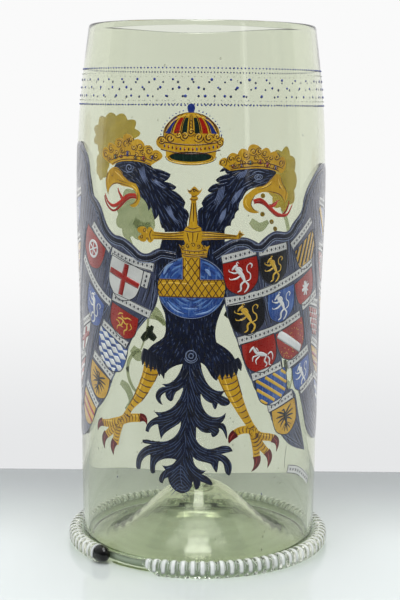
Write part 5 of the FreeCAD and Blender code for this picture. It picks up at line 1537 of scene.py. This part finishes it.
EAGLE = (
    (((0.0, 0.26), (0.02, 0.46), (0.0, 0.66)), 3.0), (((0.0, 0.28), (-0.06, 0.16), (-0.24, 0.17)), 1.5),
    (((-0.06, 0.32), (-0.34, 0.2), (-0.6, 0.12)), 1.5), (((0.06, 0.32), (0.34, 0.2), (0.6, 0.12)), 1.5),
    (((-0.1, 0.36), (-0.46, 0.32), (-0.74, 0.3)), 1.3), (((0.1, 0.36), (0.46, 0.32), (0.74, 0.3)), 1.3),
    (((-0.1, 0.42), (-0.44, 0.44), (-0.68, 0.48)), 1.3), (((0.1, 0.42), (0.44, 0.44), (0.68, 0.48)), 1.3),
    (((-0.08, 0.46), (-0.34, 0.54), (-0.52, 0.64)), 1.2), (((0.08, 0.46), (0.34, 0.54), (0.52, 0.64)), 1.2),
    (((-0.02, 0.62), (-0.16, 0.76), (-0.26, 0.86)), 1.1), (((0.0, 0.62), (0.0, 0.8), (0.0, 0.92)), 1.2),
    (((0.02, 0.62), (0.16, 0.76), (0.26, 0.86)), 1.1), (((-0.04, 0.6), (-0.3, 0.72), (-0.4, 0.78)), 0.6),
    (((0.04, 0.6), (0.3, 0.72), (0.4, 0.78)), 0.6),
)
HORSE = (
    (((-0.22, 0.4), (0.04, 0.46), (0.34, 0.56)), 2.9), (((-0.2, 0.42), (-0.32, 0.28), (-0.36, 0.18)), 2.0),
    (((-0.32, 0.18), (-0.5, 0.22), (-0.64, 0.3)), 1.4),
    (((-0.24, 0.22), (-0.16, 0.28), (-0.12, 0.36)), 0.9),
    (((-0.2, 0.46), (-0.48, 0.46), (-0.56, 0.58)), 1.0), (((-0.1, 0.5), (-0.36, 0.58), (-0.36, 0.7)), 1.0),
    (((0.3, 0.56), (0.14, 0.68), (0.26, 0.8), (0.12, 0.86)), 1.2),
    (((0.36, 0.58), (0.46, 0.7), (0.38, 0.82), (0.5, 0.88)), 1.1),
    (((0.4, 0.54), (0.62, 0.5), (0.7, 0.62), (0.62, 0.74)), 1.0),
)
FIGURE = (
    (((-0.1, 0.16), (-0.3, 0.2), (-0.42, 0.3)), 0.9),
    (((-0.4, 0.4), (-0.1, 0.36), (0.2, 0.44), (0.4, 0.38)), 1.1),
    (((0.1, 0.3), (0.3, 0.2), (0.56, 0.2)), 0.9),
    (((0.0, 0.4), (-0.06, 0.56), (-0.3, 0.66), (-0.34, 0.8)), 1.0),
    (((0.3, 0.42), (0.36, 0.6), (0.2, 0.7), (0.24, 0.84)), 1.0),
    (((0.5, 0.34), (0.66, 0.46), (0.5, 0.6)), 0.7),
    (((-0.5, 0.5), (-0.3, 0.5), (-0.1, 0.6), (0.1, 0.6)), 0.8),
    (((-0.14, 0.24), (0.0, 0.3), (0.14, 0.24)), 0.8),
)
LEAF = (
    (((0.0, 0.2), (0.0, 0.45), (0.0, 0.7)), 3.2), (((-0.4, 0.42), (0.0, 0.45), (0.4, 0.42)), 2.8),
    (((-0.26, 0.62), (0.0, 0.45), (0.26, 0.28)), 1.8), (((-0.26, 0.28), (0.0, 0.45), (0.26, 0.62)), 1.8),
)
PARTS = {"lion": LION, "eagle": EAGLE, "horse": HORSE, "figure": FIGURE, "leaf": LEAF}


def shield_frame(top_left, top_right, foot):
    """A rule that places shares across (-1 to 1) and down (0 to 1) on a shield."""
    top_left, top_right, foot = (np.array(corner) for corner in (top_left, top_right, foot))
    middle = (top_left + top_right) / 2
    return lambda across, down: middle + (top_right - middle) * across + (foot - middle) * down


def flank_frame(top, lean):
    """The same rule for a shield on the flank, tilted with its quill."""
    half = np.array([1.0, lean]) * FLANK_WIDTH / 2 / math.hypot(1, lean)
    down = np.array([-lean, -1.0]) * FLANK_DEPTH / math.hypot(1, lean)
    return shield_frame(np.array(top) - half, np.array(top) + half, np.array(top) + down)


def charge(place, kind, size):
    """The brush lines of one charge on its shield."""
    if kind in PARTS:
        thick = 0.78 * size / FRONT_SIZE
        return [pull([place(*point) for point in line], width * thick, 0.7, 0.4)
                for line, width in PARTS[kind]]
    if kind == "cross":
        return [even_pull([place(-0.95, 0.42), place(0.95, 0.42)], size * 0.19),
                even_pull([place(0, 0.06), place(0, 0.94)], size * 0.19)]
    if kind == "wheel":
        u, v = place(0, 0.44)
        spokes = [even_pull([(u - size * 0.2 * math.cos(t), v - size * 0.2 * math.sin(t)),
                             (u + size * 0.2 * math.cos(t), v + size * 0.2 * math.sin(t))], size * 0.045)
                  for t in np.radians((15, 75, 135))]
        return [ring(u, v, size * 0.23, size * 0.075)] + spokes
    if kind == "bend":
        return [even_pull([place(-0.82, 0.04), place(0.5, 0.86)], size * 0.27)]
    if kind in ("bends", "rises"):
        drop = (0.0, 1.15) if kind == "bends" else (1.15, 0.0)
        return [even_pull([place(-1.0, at + drop[0]), place(1.0, at + drop[1])], size * 0.095)
                for at in (-0.94, -0.63, -0.32, -0.01, 0.3, 0.61)]
    if kind == "bars":
        return [even_pull([place(-0.98, at), place(0.98, at)], size * 0.12) for at in (0.3, 0.62)]
    strokes = []
    shape = [0.1, 0.55, 1.0, 0.55, 0.1] if kind == "lozenges" else [1.0, 1.0, 1.0, 1.0, 1.0]
    reach = 0.26 if kind == "lozenges" else 0.2
    for row in range(5):
        for column in range(-2, 3):
            across = column * 0.5 + (0.25 if row % 2 else 0.0)
            down = 0.12 + row * 0.19
            ends = (place(across - reach, down), place(across + reach, down))
            path = np.array([ends[0] + (ends[1] - ends[0]) * share for share in np.linspace(0, 1, 5)])
            strokes.append((path, np.array(shape) * size * (0.19 if kind == "lozenges" else 0.17)))
    return strokes


piles = {"white": [], "gold": [], "red": [], "black": [], "blue": []}
outlines = []
frames = [(field, shield_frame(*corners), sign, FRONT_SIZE) for field, *corners, sign in SHIELDS]
frames += [(field, flank_frame(top, lean), sign, FLANK_SIZE) for field, top, lean, sign in FLANK_SHIELDS]
for field, place, sign, size in frames:
    kind, tone = sign.split()
    piles[tone] += kept(charge(place, kind, size), "shields_" + field)
    edge = [place(*point) for point in OUTLINE]
    outlines += [even_pull(edge, 0.5), even_pull([edge[0], place(0, 0), edge[-1]], 0.42)]
specks = []
for field, place, sign, size in frames:
    if sign == "bend white":
        for _ in range(46):
            specks.append(spot(*place(chance.uniform(-0.9, 0.9), chance.uniform(0.05, 0.9)), 0.34))
specks = kept(specks, "shields_red")
paint("shields_gold_specks", specks, line_light, ON_ENAMEL - 0.01)
charge_red = enamel("charge_red_enamel", (150, 20, 12), (100, 8, 6), (190, 70, 50))
charge_blue = enamel("charge_blue_enamel", (40, 72, 150), (20, 40, 108), (96, 124, 180))
charge_gold = enamel("charge_gold_enamel", (214, 174, 56), (178, 134, 26), (236, 208, 116))
paint("shields_charges_white", piles["white"], line_white)
paint("shields_charges_gold", piles["gold"], charge_gold)
paint("shields_charges_red", piles["red"], charge_red)
paint("shields_charges_black", piles["black"], line_black)
paint("shields_charges_blue", piles["blue"], charge_blue)
paint("shields_outlines", outlines, night_line, ON_LINES)


# The ribbons above the shields: white enamel edged with thin black lines, with a plain row of
# dots and small lozenges along the middle.
RIBBON_HALF = 2.2
RIBBON_LIFT = 2.7
RIBBONS = (
    ((-65, 178), (-57, 170.8), (-50, 165.8)), ((-49.4, 165.6), (-38, 161.6), (-23.6, 158.6)),
    ((-27, 156.2), (-29.4, 148)), ((-77, 160), (-66, 148.6), (-57, 141.6), (-50.8, 138.4)),
    ((-49.6, 142), (-38, 138.9), (-25.6, 134.4)), ((-58, 127.4), (-49, 122.8), (-39.8, 117.2)),
    ((-67.6, 109.8), (-58, 104.6), (-50.4, 99.4)), ((-77.4, 93.2), (-70, 87.4), (-63.6, 82)),
    ((10.4, 163.2), (28.4, 167.3)), ((29.8, 166.2), (47.5, 168.8)),
    ((50.8, 168.2), (58.8, 174), (67.8, 181)),
    ((12.6, 142), (32.5, 145.6), (46, 150), (58, 154.2), (71, 158.6)),
    ((19.6, 121.8), (40.5, 126.4), (60.4, 132.6)),
    ((62, 135.8), (79, 142)), ((27.8, 102.6), (46.6, 107.6)), ((51.2, 106.6), (60, 109.6), (70.6, 113.6)),
    ((38, 85.4), (56, 91.2)), ((63, 91.4), (79, 97.4)), ((53, 51.6), (63, 48.6), (75, 40.6)),
)
ribbons = [(line, ("ribbons_left",) if line[0][0] < 0 else ("ribbons_right",)) for line in RIBBONS]
for _, top, lean, _ in FLANK_SHIELDS:
    place = flank_frame(top, lean)
    lift = np.array([0.0, RIBBON_LIFT])
    ribbons.append(((tuple(place(-1, 0) + lift), tuple(place(1, 0) + lift)), ("ribbons_flanks",)))
edges, row = [], []
for line, nodes in ribbons:
    for side in (-1, 1):
        path = beside(line, side * (RIBBON_HALF - 0.18))
        edges += kept([(path, np.full(len(path), 0.34))], *nodes)
    middle = smooth_path(line, 1.3)
    dots = []
    for index, (u, v) in enumerate(middle[1:-1]):
        if index % 2:
            path = np.c_[np.linspace(u - 0.6, u + 0.6, 5), np.full(5, v)]
            dots.append((path, np.array([0.1, 1.0, 1.9, 1.0, 0.1])))
        else:
            dots.append(spot(u, v + 0.55, 0.26))
            dots.append(spot(u, v - 0.55, 0.26))
    row += kept(dots, *nodes)
    for place, after in ((middle[0], middle[1]), (middle[-1], middle[-2])):
        way = (after - place) / np.linalg.norm(after - place)
        across = np.array([-way[1], way[0]]) * (RIBBON_HALF - 0.1)
        start = place + way * 0.2
        edges.append(even_pull([start - across, start, start + across], 0.34))
loose = [pull([(52, 64), (51, 58), (50.7, 52.5)], 0.3, 0.8, 0.8)]
ribbon_ink = enamel("ribbon_ink_enamel", (60, 62, 68), (34, 36, 42), (98, 100, 106))
paint("ribbons_edges", edges, line_black)
paint("ribbons_rows", row, ribbon_ink)
paint("loose_ribbon_thread", loose, line_black, ON_GLASS)


# The painting on the far side as it shows through both walls: soft bands of sage and a few dark
# green leaves, each given by the place where it is seen through the front.
def behind(u, v):
    """The place on the far wall that the camera sees straight through a place on the front."""
    turn = u / (DRAWING_RADIUS * 1000)
    reach = wall_radius(v / 1000)
    front = np.array([reach * math.sin(turn), -reach * math.cos(turn), v / 1000])
    eye = np.array([0.0, -EYE_DISTANCE, EYE_HEIGHT])
    way = front - eye
    a, b = way[0] ** 2 + way[1] ** 2, 2 * (eye[0] * way[0] + eye[1] * way[1])
    c = eye[0] ** 2 + eye[1] ** 2 - reach ** 2
    spot = eye + way * (-b + math.sqrt(b * b - 4 * a * c)) / (2 * a)
    return (math.atan2(spot[0], -spot[1]) % (2 * math.pi)) * DRAWING_RADIUS * 1000, spot[2] * 1000


def seen_pull(points, width):
    return pull([behind(*point) for point in points], width, 0.7, 0.45)


sage = [
    seen_pull([(-30, 139.4), (-24, 137), (-18.6, 130.4)], 5.4),
    seen_pull([(-39, 116.6), (-34.6, 113), (-29.6, 113.4)], 6.4),
    seen_pull([(-47.4, 98.4), (-42, 95.4), (-39.4, 89.6), (-43.4, 84.6)], 4.6),
    seen_pull([(-36, 181), (-31, 178.6), (-26.4, 180)], 5.0),
    seen_pull([(56, 98), (53.4, 90), (57, 83)], 4.4),
    seen_pull([(26, 182), (31.4, 178.6), (37, 181.4)], 5.6),
]
leaves = [
    seen_pull([(-32.4, 121.6), (-28, 125.6), (-25.6, 129.4)], 5.2),
    seen_pull([(-24, 122.4), (-27, 125), (-28.6, 129)], 4.6),
    seen_pull([(13.4, 136.6), (16.6, 134.6), (18.6, 130)], 4.0),
    seen_pull([(51.4, 110), (52.6, 106), (51, 101)], 4.0),
    seen_pull([(-42.6, 106.6), (-41.6, 104.4)], 2.6), seen_pull([(27.8, 105.4), (28.8, 101.4)], 2.4),
    seen_pull([(62.6, 89), (63.4, 84.6)], 2.8), seen_pull([(-29.4, 139.8), (-31.6, 137)], 2.6),
]
leaf_green = enamel("leaf_green_enamel", (36, 58, 38), (18, 34, 22), (70, 94, 66), thin=0.25)
paint("reverse_sage_bands", sage, ENAMELS["enamel_sage"], ON_GLASS)
paint("reverse_leaves", leaves, leaf_green, ON_GLASS + 0.02)


# Small things in and on the glass: seeds, which are air bubbles drawn long by the blowing, and
# stray dabs of blue low on the wall.
tree, given = recipe("glass_seeds", [("Radius", "Float"), ("Seed", "Int"), ("Material", "Material")])
bubble = tree.node("GeometryNodeMeshUVSphere", None,
                   {"Segments": 8, "Rings": 5, "Radius": given["Radius"]})
size = tree.node("FunctionNodeRandomValue", {"data_type": "FLOAT"},
                 {2: 0.35, 3: 1.1, 8: given["Seed"]}, 1)
stretch = tree.node("ShaderNodeCombineXYZ", None, {0: size * 0.8, 1: size * 0.8, 2: size * 1.5})
sown = tree.node("GeometryNodeInstanceOnPoints", None, {
    "Points": given["Geometry"], "Instance": bubble, "Scale": stretch})
serve(tree, given, tree.node("GeometryNodeRealizeInstances", None, {0: sown}))
SEEDS = 170
SEEDS_FROM, SEEDS_TO, LOW_SEEDS_TO = 0.010, 0.270, 0.055
chance = np.random.default_rng(71)
places = []
for index in range(SEEDS):
    turn = chance.uniform(-math.pi, math.pi)
    z = chance.uniform(SEEDS_FROM, SEEDS_TO if index % 3 else LOW_SEEDS_TO)
    radius = wall_radius(z) - WALL_GLASS / 2
    places.append((radius * math.sin(turn), -radius * math.cos(turn), z))
seeds = new_object("glass_seeds", places, [])
cook(seeds, tree, {"Radius": 0.00042, "Seed": 5}, glass("seed_glass", (0.93, 0.94, 0.92, 1.0), 0.0))
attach(seeds, "root")

stray = [
    spot(35, 41, 0.7), spot(-47, 47.6, 0.55), spot(59, 224, 0.5), spot(46.4, 33.4, 0.35),
    spot(-41, 30, 0.3),
    spot(-58, 232.6, 0.4), spot(24, 241, 0.35), spot(-51.6, 27.6, 0.3),
]
paint("stray_blue_dabs", stray, jewel_blue, ON_GLASS)
